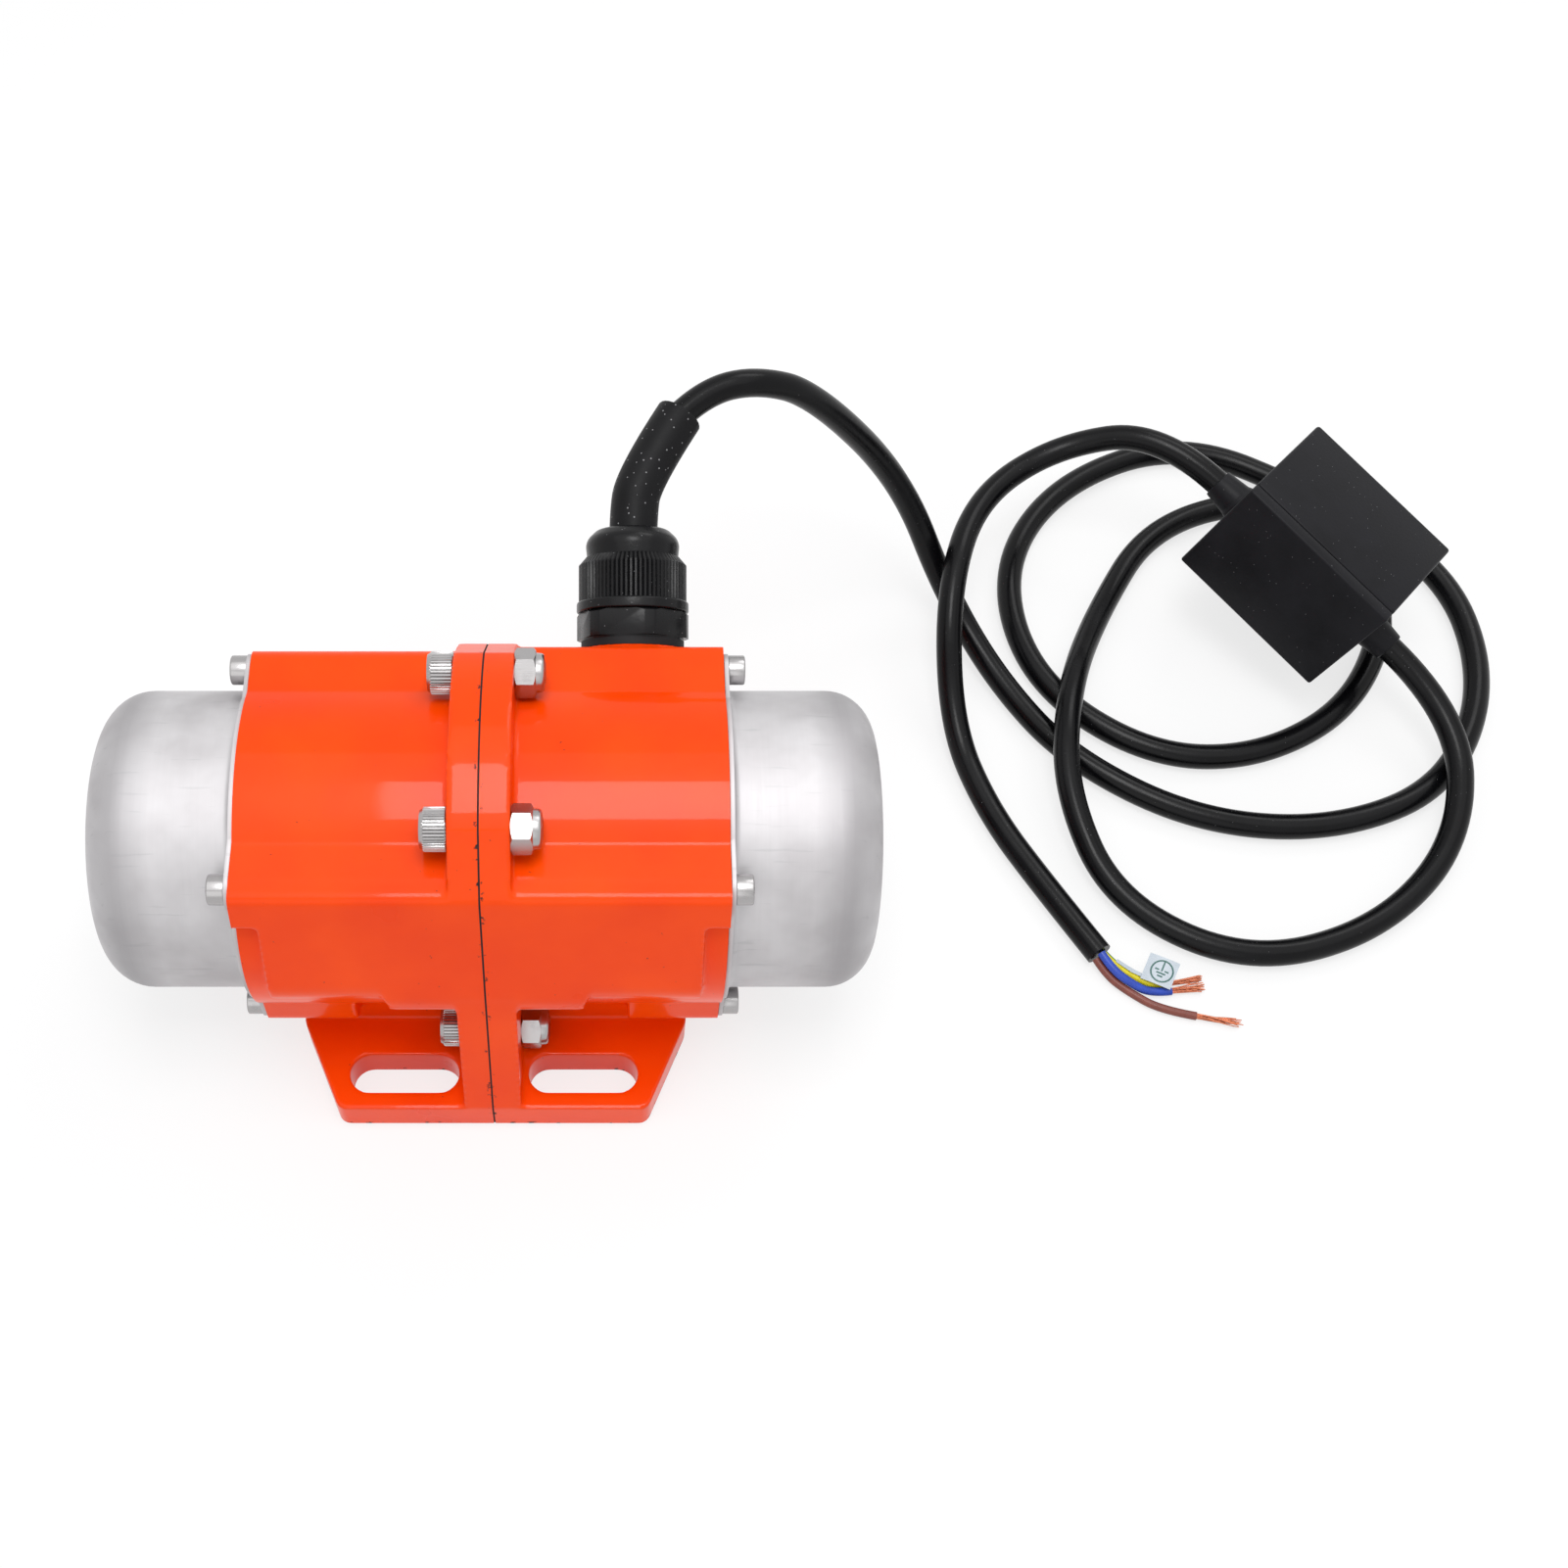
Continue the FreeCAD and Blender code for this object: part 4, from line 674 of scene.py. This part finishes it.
def flangeOutline(ground, share):
    # crown, shoulders and foot of the joint flange in (y, z), shrunk by a share
    h = housing
    rim = softened([(h["baseHalf"], ground, 0), (h["baseHalf"], h["baseThick"] - shaftHeight, 2.5),
                    (*padFoot, 3.0), (*padTop, 3.0), (34.5, 33.0, 2.0), (25.0, 44.0, 0)], 4)[:-1]
    half = math.degrees(math.acos(h["crownHalf"] / h["crownRadius"]))
    crown = arc(h["crownRadius"], half, 180 - half, 24)
    outline = rim + crown + [(-y, z) for y, z in reversed(rim)]
    return [(y * share, z * share) for y, z in outline]


def castHalf(withGland):
    # the rough casting is a little too long at the joint, the end and the ground, and is then machined
    h = housing
    spare, block, face = h["spare"], h["block"], h["end"]
    seam, end = h["seam"] - spare, face + spare
    ground = -shaftHeight - spare
    shapes = [turned("barrel", [(seam, 0), (seam, h["barrel"]), (end, h["barrel"]), (end, 0)], 180)]
    backRound = h["glandSideRound"] if withGland else h["blockRound"]
    upper = softened([(-block, 0, 0), (block, 0, 0), (block, block, backRound),
                      (-block, block, h["blockRound"])], 8)
    shapes.append(drawn("upper_bosses", upper, [(seam, 1), (end, 1)]))
    lower = softened([(-block, 0, 0), (block, 0, 0), (block, -block, h["blockRound"]),
                      (-block, -block, h["blockRound"])], 8)
    shapes.append(drawn("lower_bosses", lower, [(h["lowerBoss"], 1), (end, 1)]))
    shapes.append(drawn("flange", flangeOutline(ground, 1.0), [(seam, 1), (h["flange"], 1)]))
    front = softened([(seam, 40, 0), (end, 40, 0), (end, 24.6, 0), (50, 24.6, 1.5), (50, -14, 14.0),
                      (seam, -14, 0)], 8)
    shapes.append(pad("front_pad", -1, 33.9, (0, 0), front))
    step = [(seam, 6), (24.3, 6), (21.0, -14), (seam, -14)]
    shapes.append(pad("pad_step", -1, 33.9, (1.1, -3.9), step))
    back = softened([(seam, 30, 0), (48, 30, 0), (48, -14, 12.0), (seam, -14, 0)], 8)
    shapes.append(pad("back_pad", 1, 20.0, (0, 0), back))
    edge, root = h["baseHalf"], h["baseRootOut"]
    foot = softened([(seam, -edge, 0), (h["baseTip"], -edge, 3), (h["baseRoot"], -root, 4),
                     (h["baseRoot"], root, 4), (h["baseTip"], edge, 3), (seam, edge, 0)])
    plate = extruded("foot", [(x, y, ground) for x, y in foot], (0, 0, h["baseThick"] + spare))
    for side in (-1, 1):
        centre = (h["slotAt"][0], side * h["slotAt"][1])
        hole = [(x, y, ground - 1) for x, y in slotOutline(h["slot"], centre)]
        combined(plate, extruded("slot", hole, (0, 0, h["baseThick"] + spare + 2)))
    shapes.append(plate)
    web = h["web"]
    webOutline = [(-web, ground), (web, ground), (web, -19), (-web, -19)]
    shapes.append(drawn("web", webOutline, [(seam, 1), (h["baseRoot"], 1)]))
    if withGland:
        start, seat = h["bossStart"], glandSizes["seat"]
        boss = turned("boss", [(start, 0), (start, h["boss"]), (seat, h["boss"]), (seat, 0)], 72)
        shapes.append(settled(boss, (glandSizes["across"], 0, 0), glandWay))
    casting = joined(shapes, "casting")
    applied(casting, "REMESH", mode="VOXEL", voxel_size=h["voxel"] * mm)
    applied(casting, "SMOOTH", factor=0.5, iterations=h["passes"])
    kept = slab("machined", (h["gasket"] / 2, -70, -shaftHeight), (face, 70, 60))
    combined(casting, kept, "INTERSECT")
    steps = [(-1, "bore"), (h["boreEnd"], "cavity"), (face - h["endWall"], "hub"),
             (h["bearingStart"], "bearing"), (face - h["shaftWall"], "shaftHole")]
    stops = [start for start, name in steps[1:]] + [face + 1]
    profile = [(-1, 0)]
    for (start, name), stop in zip(steps, stops):
        profile += [(start, h[name]), (stop, h[name])]
    combined(casting, turned("bored", profile + [(face + 1, 0)], 120))
    if withGland:
        radius, start, stop = h["glandHole"]
        hole = turned("threaded", [(start, 0), (start, radius), (stop, radius), (stop, 0)], 48)
        combined(casting, settled(hole, (glandSizes["across"], 0, 0), glandWay))
    return raised(casting)


rightHalf = castHalf(True)
rightHalf.name = "housing_right_casting"
otherHalf = castHalf(False)
leftHalf = mirrored(otherHalf, "housing_left_casting")
bpy.data.objects.remove(otherHalf)
finished(rightHalf, "orange_paint", ["housing_right"], 50)
finished(leftHalf, "orange_paint", ["housing_left"], 50)
print("housing cast:", len(rightHalf.data.polygons), "and", len(leftHalf.data.polygons), "faces")


def joinSheet():
    # the thin sheet between the halves
    half = housing["gasket"] / 2 - 0.005
    sheet = drawn("joint_gasket_sheet", flangeOutline(-shaftHeight, 0.997), [(-half, 1), (half, 1)])
    bore = housing["bore"] + 0.3
    combined(sheet, turned("bore", [(-1, 0), (-1, bore), (1, bore), (1, 0)], 120))
    return raised(sheet)


finished(joinSheet(), "dark_gasket", ["housing_gasket"])


# end caps

capLow, capHigh = (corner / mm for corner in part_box("end_cap_right"))
capSizes = {
    "start": capLow.x, "face": capLow.x + 1.0, "stop": capHigh.x, "radius": 35.8, "sheet": 1.0,
    "round": 11.0, "dome": 1.8, "root": 1.6, "block": 33.5, "blockRound": 5.0, "disc": 38.5,
    "gasketBore": 34.0, "gasketInset": 0.25,
}


def eared(name, start, stop, inset, bore):
    # the round flange with four corners for the screws
    c = capSizes
    block, disc = c["block"] - inset, c["disc"] - inset
    square = softened([(-block, -block, c["blockRound"]), (block, -block, c["blockRound"]),
                       (block, block, c["blockRound"]), (-block, block, c["blockRound"])], 8)
    sheet = drawn(name, square, [(start, 1), (stop, 1)])
    combined(sheet, turned("disc", [(start, 0), (start, disc), (stop, disc), (stop, 0)], 160), "UNION")
    return combined(sheet, turned("hole", [(start - 1, 0), (start - 1, bore), (stop + 1, bore),
                                           (stop + 1, 0)], 160))


def endCap():
    c = capSizes
    start, face, stop = c["start"], c["face"], c["stop"]
    radius, sheet = c["radius"], c["sheet"]
    outer = softened([(face, radius + 4.0, 0), (face, radius, c["root"]),
                      (stop - c["dome"] + 0.3, radius, c["round"]), (stop - 0.2, 12, 30),
                      (stop, 0, 0)], 12)
    inner = softened([(stop - sheet, 0, 0), (stop - sheet - 0.2, 12, 30),
                      (stop - c["dome"] + 0.3 - sheet, radius - sheet, c["round"] - sheet),
                      (start, radius - sheet, c["root"] + 0.6), (start, radius + 4.0, 0)], 12)
    cup = turned("cup", outer[1:-1] + [(stop, 0), (stop - sheet, 0)] + inner[1:-1]
                 + [(start, radius + 2.4), (face, radius + 2.4)], 160)
    plate = rounded(eared("plate", start, face, 0.0, radius + 1.5), 0.22, 2, 50)
    cap = combined(cup, plate, "UNION")
    cap.name = "end_cap_right_shell"
    return raised(cap)


rightGasket = raised(eared("cap_gasket_right_sheet", housing["end"] + 0.01, capSizes["start"] - 0.01,
                           capSizes["gasketInset"], capSizes["gasketBore"]))
leftGasket = mirrored(rightGasket, "cap_gasket_left_sheet")
finished(rightGasket, "dark_gasket", ["cap_gasket_right"])
finished(leftGasket, "dark_gasket", ["cap_gasket_left"])
rightCap = endCap()
leftCap = mirrored(rightCap, "end_cap_left_shell")
finished(rightCap, "cap_sheet", ["end_cap_right"], 35)
finished(leftCap, "cap_sheet", ["end_cap_left"], 35)
print("end caps drawn")


# screws, bolts and nuts

capScrew = {"shank": 2.0, "head": 3.5, "high": 4.0, "edge": 0.45, "key": 3.0, "long": 10.0,
            "pitch": 0.7, "reach": 29.35}
flangeBolt = {"shank": 3.0, "head": 5.0, "high": 6.0, "key": 5.0, "teeth": 40, "groove": 0.32,
              "thread": 12, "pitch": 1.0, "tail": 0.3}
lockNut = {"flats": 10.0, "high": 6.8, "hex": 4.9, "bore": 3.04, "ring": 3.3}
boltPlaces = [(-20.6, 41.2), (20.6, 41.2), (-34.4, -34.0), (34.4, -34.0)]


def keyed(head, key, high):
    # sinks the hexagonal key socket into the top of a head
    deep = 0.55 * high
    return combined(head, drawn("key", hexagon(key), [(high - deep, 1), (high + 1, 1)]))


def threaded(name, radius, start, stop, pitch):
    # a rod whose thread is a row of close rounded ridges
    ridges = max(1, int(round((stop - start) / pitch)))
    step = (stop - start) / ridges
    profile = [(start, 0), (start, radius * 0.8)]
    for i in range(ridges):
        profile += [(start + (i + 0.3) * step, radius), (start + (i + 0.55) * step, radius),
                    (start + (i + 0.95) * step, radius * 0.86)]
    return turned(name, profile + [(stop, radius * 0.8), (stop, 0)], 32)


def smoothScrew():
    s = capScrew
    head = turned("head", softened([(0, 0, 0), (0, s["head"], 0.25), (s["high"], s["head"], s["edge"]),
                                    (s["high"], 0, 0)], 4), 56)
    keyed(head, s["key"], s["high"])
    return joined([head, threaded("shank", s["shank"], -s["long"], -0.05, s["pitch"])], "cap_screw")


def knurledBolt():
    b = flangeBolt
    outline = toothed(b["teeth"], b["head"], b["head"] - b["groove"])
    band = drawn("head", outline, [(0.0, 0.94), (0.35, 1.0), (b["high"] - 1.05, 1.0),
                                   (b["high"] - 0.75, 0.965)])
    top = turned("top", [(0.2, 0), (0.2, b["head"] - 0.3), (b["high"] - 0.75, b["head"] - 0.3),
                         (b["high"], b["head"] - 0.75), (b["high"], 0)], 88)
    head = combined(band, top, "UNION")
    keyed(head, b["key"], b["high"])
    long = 2 * housing["flange"] + lockNut["high"] + b["tail"]
    start, shank = -b["thread"], b["shank"]
    plain = turned("shank", [(start, 0), (start, shank), (-0.05, shank), (-0.05, 0)], 32)
    tail = threaded("tail", shank, -long, start, b["pitch"])
    return joined([head, plain, tail], "flange_bolt")


def nylocNut():
    n = lockNut
    reach = n["flats"] / math.sqrt(3)
    flat = n["flats"] / 2
    body = drawn("nut", hexagon(n["flats"], 18), [(0, 1), (n["hex"], 1)])
    chamfer = turned("chamfer", [(0, 0), (0, flat), (0.5, reach), (n["hex"] - 0.55, reach),
                                 (n["hex"], flat - 0.05), (n["hex"], 0)], 72)
    combined(body, chamfer, "INTERSECT")
    collar = turned("collar", softened([(n["hex"] - 0.5, 0, 0), (n["hex"] - 0.5, flat - 0.35, 0),
                                        (n["high"], flat - 0.55, 0.9), (n["high"], n["ring"], 0.3),
                                        (n["high"] - 0.9, n["ring"], 0), (n["high"] - 0.9, 0, 0)], 5),
                    64)
    combined(body, collar, "UNION")
    stop = n["high"] + 1
    combined(body, turned("bore", [(-1, 0), (-1, n["bore"]), (stop, n["bore"]), (stop, 0)], 40))
    return rounded(body, 0.12, 1, 40)


def fastened(name, pattern, places, direction, node, rolls):
    # copies of one fastener, each with its own turn, joined as one piece
    copies = [settled(copied(pattern, f"{name}_{i}"), (x, y, shaftHeight + z), direction, rolls[i])
              for i, (x, y, z) in enumerate(places)]
    bpy.data.objects.remove(pattern)
    return finished(joined(copies, name), "stainless", [node], 28)


turns = random.Random(6)
reach = capScrew["reach"]
face = capSizes["face"]
for side, sign in (("left", -1), ("right", 1)):
    places = [(sign * face, y, z) for y in (-reach, reach) for z in (-reach, reach)]
    fastened(f"cap_screw_set_{side}", smoothScrew(), places, (sign, 0, 0), f"cap_screws_{side}",
             [turns.uniform(0, 60) for _ in places])
flange = housing["flange"]
fastened("flange_bolt_set", knurledBolt(), [(-flange, y, z) for y, z in boltPlaces], (-1, 0, 0),
         "housing_bolts", [turns.uniform(0, 60) for _ in boltPlaces])
fastened("lock_nut_set", nylocNut(), [(flange, y, z) for y, z in boltPlaces], (1, 0, 0),
         "housing_nuts", (4, 14, 22, 9))
print("fasteners in place")


# cable gland and sleeve, heights along the gland's axis from its seat

gland = {
    "washer": 1.8, "flats": 25.0, "corners": 13.6, "under": 12.4, "hexTop": 8.6, "rim": 13.6,
    "rimTop": 11.2, "thread": 10.0, "threadStart": -9.0, "pitch": 1.5, "bore": 5.8, "barrelTop": 19.5,
    "nut": 13.1, "flutes": 72, "fluteDeep": 0.42, "bandTop": 20.2, "shoulder": 22.2, "neck": 11.3,
    "top": 29.0, "mouth": 6.0, "barrel": 9.5, "roll": 47.0,
}


def standing(piece):
    return settled(piece, glandPoint(glandSizes["seat"]), glandWay)


def glandBody():
    g = gland
    low, high, corners, under = g["washer"], g["hexTop"], g["corners"], g["under"]
    body = drawn("hex", hexagon(g["flats"], g["roll"]), [(low + 0.5, 1), (high, 1)])
    trim = turned("trim", [(0, 0), (0, corners), (high - 0.5, corners), (high, corners - 0.6),
                           (high, 0)], 120)
    combined(body, trim, "INTERSECT")
    ring = turned("under", [(low, 0), (low, under), (low + 1, under), (low + 1, 0)], 96)
    combined(body, ring, "UNION")
    thread = threaded("thread", g["thread"], g["threadStart"], low + 0.2, g["pitch"])
    combined(body, thread, "UNION")
    start, stop = high - 1, g["barrelTop"]
    barrel = turned("barrel", [(start, 0), (start, g["barrel"]), (stop, g["barrel"]), (stop, 0)], 72)
    combined(body, barrel, "UNION")
    combined(body, turned("bore", [(-10, 0), (-10, g["bore"]), (20, g["bore"]), (20, 0)], 64))
    rounded(body, 0.25, 2, 50)
    body.name = "gland_body_moulding"
    return standing(body)


def glandNut():
    g = gland
    low, outer, shoulder, neck, top = g["hexTop"], g["nut"], g["shoulder"], g["neck"], g["top"]
    band = drawn("flutes", toothed(g["flutes"], outer, outer - g["fluteDeep"], 0.4),
                 [(low + 1, 1), (g["bandTop"], 1), (shoulder, (neck + 0.1) / outer)])
    rim = turned("rim", softened([
        (low + 0.2, 0, 0), (low + 0.2, g["rim"], 0.4), (g["rimTop"], g["rim"], 0.6),
        (g["rimTop"] + 0.3, outer - 0.4, 0), (shoulder - 0.4, neck - 0.3, 0.0),
        (shoulder + 0.2, neck - 0.2, 0.3), (26.2, neck + 0.2, 3.6), (top, 8.6, 2.6),
        (top, 6.3, 0.25), (top - 2.5, g["mouth"], 0), (top - 2.5, 0, 0)], 8), 120)
    nut = combined(band, rim, "UNION")
    inner, turnIn = g["barrel"] + 0.05, g["barrelTop"] + 5.0
    bore = turned("bore", [(0, 0), (0, inner), (turnIn, inner), (turnIn, g["mouth"]),
                           (top + 1, g["mouth"]), (top + 1, 0)], 72)
    combined(nut, bore)
    nut.name = "gland_nut_moulding"
    return standing(nut)


finished(glandBody(), "gland_nylon", ["gland_body"])
finished(glandNut(), "gland_nylon", ["gland_nut"])

sleeve = {"radius": 5.85, "wall": 1.3, "start": 59.6, "middle": 78, "bend": 88.0, "lean": (1.6, 0, 0),
          "cableStart": 24}
sleeveRoute = [glandPoint(sleeve["start"]), glandPoint(sleeve["middle"]),
               glandPoint(sleeve["bend"]) + Vector(sleeve["lean"]), sleeveTip]
tubeLine = strung("cable_sleeve_tube", [sleeveRoute], sleeve["radius"], 12, 16)
tubeLine.data.use_fill_caps = False
sleeveTube = applied(meshed(tubeLine), "SOLIDIFY", thickness=sleeve["wall"] * mm, offset=-1.0)
rounded(sleeveTube, 0.3, 2, 60)
finished(sleeveTube, "sleeve_plastic", ["cable_sleeve"], 40)
entryLine = strung("motor_cable_entry_core", [[glandPoint(sleeve["cableStart"])] + sleeveRoute],
                   cable["radius"], 8, 16)
finished(meshed(entryLine), "cable_jacket", ["motor_cable_entry"], 40)
print("gland and sleeve fitted")


# in-line capacitor box

def atBox(piece):
    return carried(piece, boxSizes["centre"], boxTurn)


def boxTub():
    b = boxSizes
    x, y, z, wall = b["long"] / 2, b["wide"] / 2, b["high"] / 2, b["wall"]
    joint = b["lid"] - y
    tub = slab("box_tub", (-x, joint, -z), (x, y, z))
    rounded(tub, b["edge"], 4, 60)
    combined(tub, slab("inside", (wall - x, joint - 1, wall - z), (x - wall, y - wall, z - wall)))
    return atBox(tub)


def boxLid():
    b = boxSizes
    x, y, z, lip = b["long"] / 2, b["wide"] / 2, b["high"] / 2, b["wall"] + b["gap"]
    lid = slab("box_lid", (-x, -y, -z), (x, b["lid"] - b["gap"] - y, z))
    rounded(lid, b["lidEdge"], 4, 60)
    spigot = slab("spigot", (lip - x, -y + 1, lip - z), (x - lip, b["lid"] + b["spigot"] - y, z - lip))
    combined(lid, spigot, "UNION")
    return atBox(lid)


def boxCollars():
    b = boxSizes
    bore = cable["radius"] + 0.05
    profile = softened([(0, bore, 0), (b["collarLong"], bore, 0),
                        (b["collarLong"], b["collarTip"], 0.35), (1.2, b["collar"], 0.3),
                        (0.02, b["collar"] + 0.5, 0.1)], 4)
    collars = []
    for sign in (-1, 1):
        collar = turned("collar", profile, 48)
        settled(collar, (sign * b["long"] / 2, 0, -b["collarDrop"]), (sign, 0, 0))
        collars.append(collar)
    return atBox(joined(collars, "box_collar_pair"))


finished(boxTub(), "box_plastic", ["capacitor_box"], 32)
finished(boxLid(), "box_plastic", ["capacitor_box_lid"], 32)
finished(boxCollars(), "box_plastic", ["capacitor_box_collars"], 32)
print("capacitor box closed")


# wire ends

wires = {"radius": 1.1, "sides": 6, "strand": 0.13, "strands": 26, "strandSteps": 5, "hidden": 0.8}
loose = {"long": 9.0, "twist": 0.9, "spread": 1.0}
copperEnds = {"blue": loose, "brown": {"long": 12.0, "twist": 2.2, "spread": 0.5}, "earth": loose}
wireRoutes = {
    "blue": [(157.2, -8.3, 4.9), (159.8, -12.8, 4.2), (164, -15.8, 3.0), (169.2, -18.4, 1.6),
             (175, -17.6, 1.3)],
    "brown": [(156.1, -9.1, 3.1), (158.6, -13.4, 1.9), (164, -17.9, 1.3), (171.5, -22.9, 1.3),
              (180.5, -24.7, 1.3)],
    "earth": [(158.3, -7.7, 3.1), (161.2, -11.0, 2.3), (166, -13.7, 1.4), (170.6, -16.0, 1.2),
              (174.8, -15.3, 1.2)],
}
up = Vector((0, 0, 1))
chance = random.Random(11)
strandRoutes, wireEndings = [], []
for name, route in wireRoutes.items():
    wire = meshed(strung(f"{name}_wire_covering", [route], wires["radius"], wires["sides"], 10))
    ringCount = 4 + 2 * wires["sides"]  # vertices in one ring of the wire
    around = wire.data.attributes.new("around", "FLOAT", "POINT")
    for i in range(len(wire.data.vertices)):
        around.data[i].value = 0.5 + 0.5 * math.cos(4 * math.pi * (i % ringCount) / ringCount)
    finished(wire, f"{name}_insulation", [f"{name}_wire"], 40)
    wireEndings.append(wire)
    tip = Vector(route[-1])
    way = tip - Vector(route[-2])
    way.z = 0
    way.normalize()
    across = Vector((-way.y, way.x, 0))
    copper, hidden, steps = copperEnds[name], wires["hidden"], wires["strandSteps"]
    for i in range(wires["strands"]):
        angle = chance.uniform(0, 2 * math.pi)
        out = wires["radius"] * 0.62 * math.sqrt(chance.uniform(0, 1))
        long = copper["long"] * chance.uniform(0.8, 1.0)
        bend = chance.uniform(-1, 1) * copper["spread"]
        strand = []
        for step in range(steps + 1):
            share = step / steps
            turn = angle + copper["twist"] * share
            radius = out * (1 + 0.5 * copper["spread"] * share)
            point = tip - way * hidden + way * (long + hidden) * share
            point += across * (radius * math.cos(turn) + bend * share ** 2)
            point += up * max(radius * math.sin(turn) * (1 - 0.35 * share), 0.15 - tip.z)
            strand.append(point)
        strandRoutes.append(strand)
strands = meshed(strung("copper_strand_bundle", strandRoutes, wires["strand"], 1, 4))
finished(strands, "bare_copper", ["copper_strands"], 60)
wireEndings.append(strands)

tag = {"long": 8.0, "wide": 7.4, "thick": 0.12, "sag": 0.35, "ring": 2.8, "line": 0.2,
       "ink": (0.07, 0.13), "place": (167.0, -14.6, 2.9), "turn": (-27.0, -4.0, 16.0)}


def onTag(piece):
    return carried(piece, tag["place"], turnOf(tag["turn"]))


def tagSag(x):
    # the film bows a little along its length
    return tag["sag"] * math.sin(math.pi * x / tag["long"]) * mm


def tagFilm():
    deselect()
    bpy.ops.mesh.primitive_grid_add(x_subdivisions=18, y_subdivisions=8, size=1)
    film = bpy.context.object
    film.name = "earth_tag_film"
    for vertex in film.data.vertices:
        x, y = (vertex.co.x + 0.5) * tag["long"], (vertex.co.y + 0.5) * tag["wide"]
        vertex.co = (x * mm, y * mm, tagSag(x))
    applied(film, "SOLIDIFY", thickness=tag["thick"] * mm, offset=0.0)
    return onTag(film)


def tagSymbol():
    # a ring round an upright and three bars, the usual mark of an earth wire
    middle = (tag["long"] * 0.55, tag["wide"] / 2)
    line, (low, high) = tag["line"], tag["ink"]
    inner, outer = tag["ring"] - line, tag["ring"] + line
    mark = turned("tag_mark", [(low, inner), (high, inner), (high, outer), (low, outer)], 48)
    parts = [settled(mark, (*middle, 0), (0, 0, 1), 0, "Y")]
    bars = [((-0.1, 0.2), (-0.1, 2.4)), ((-1.7, 0.2), (1.5, 0.2)), ((-1.1, -0.6), (0.9, -0.6)),
            ((-0.6, -1.4), (0.4, -1.4))]
    for start, stop in bars:
        parts.append(slab("bar", (middle[0] + start[0] - line, middle[1] + start[1] - line, low),
                          (middle[0] + stop[0] + line, middle[1] + stop[1] + line, high)))
    symbol = joined(parts, "earth_tag_symbol")
    for vertex in symbol.data.vertices:
        vertex.co.z += tagSag(vertex.co.x / mm)
    return onTag(symbol)


def tagTail():
    # the film's narrow end, stuck along the earth wire
    edge = [(161.6, -9.4), (165.4, -12.0), (168.6, -13.7), (168.2, -14.6), (164.8, -13.0),
            (161.0, -10.2)]
    tail = extruded("earth_tag_tail", [(x, y, 3.55 - 0.12 * (x - 161)) for x, y in edge], (0, 0, 0.1))
    return rounded(tail, 0.03, 1, 60)


film = finished(joined([tagFilm(), tagTail()], "earth_tag_film"), "tag_card", ["earth_tag"], 40)
symbol = finished(tagSymbol(), "tag_card", [], 40, tagInk)
wireEndings += [film, symbol]
print("wire ends and tag laid out")


# studio: pale floor, white surround and softboxes

studio = {
    "floor": colour(0.93, 0.93, 0.94), "mottle": colour(0.96, 0.96, 0.96), "surround": 0.46,
    "fade": (0.35, 0.9), "nearWhite": 0.74, "target": (0.03, 0.0, 0.05),
    "strip": {"place": (0.04, -0.06, 1.05), "size": (0.34, 0.46), "power": 4.0},
    "ceiling": {"place": (0.05, 0.0, 1.15), "size": (2.0, 1.3), "power": 5.4},
    "backRight": {"place": (0.50, 0.72, 0.95), "size": (0.55, 0.34), "power": 1.9},
    "front": {"place": (-0.35, -1.15, 0.75), "size": (1.4, 0.9), "power": 2.3},
}


def paleFloor():
    deselect()
    bpy.ops.mesh.primitive_plane_add(size=30, location=(0, 0, -0.0002))
    floor = bpy.context.object
    floor.name = "floor"
    board = Board("pale_floor")
    mottle = board.noise(12, 2).between(0.3, 0.7)
    tone = board.blend(mottle, studio["floor"], studio["mottle"])
    matt = board.add("BsdfDiffuse", {"Color": tone})
    white = board.add("Emission", {"Color": colour(1, 1, 1), "Strength": 1.0})
    # the floor is whiter to the eye than to the light, and turns white all round the object
    outwards = board.along(0).size().larger(board.along(1).size())
    seen = board.looking() * outwards.between(*studio["fade"], studio["nearWhite"], 1.0)
    mixed = board.add("MixShader", {0: seen, 1: matt, 2: white})
    board.add("OutputMaterial", {"Surface": mixed})
    floor.data.materials.append(board.material)


def surround():
    world = bpy.data.worlds.new("studio")
    bpy.context.scene.world = world
    world.use_nodes = True
    board = Board("surround", world.node_tree)
    level = board.looking().between(0.0, 1.0, studio["surround"], 1.0)
    back = board.add("Background", {"Color": colour(1, 1, 1), "Strength": level})
    board.add("OutputWorld", {"Surface": back})


def softbox(name, place, size, power):
    # an area lamp that faces the motor with its long side across the view
    light = bpy.data.lights.new(name, "AREA")
    light.shape = "RECTANGLE"
    light.size, light.size_y = size
    light.energy = power
    lamp = bpy.data.objects.new(name, light)
    lamp.location = place
    back = (Vector(place) - Vector(studio["target"])).normalized()
    right = (Vector((1, 0, 0)) - back * back.x).normalized()
    lamp.rotation_euler = Matrix((right, back.cross(right), back)).transposed().to_euler()
    lamp.visible_camera = False
    bpy.context.scene.collection.objects.link(lamp)


paleFloor()
surround()
for name in ("strip", "ceiling", "backRight", "front"):
    softbox(name, **studio[name])
bpy.context.scene.view_settings.view_transform = "Standard"
print("studio lit")
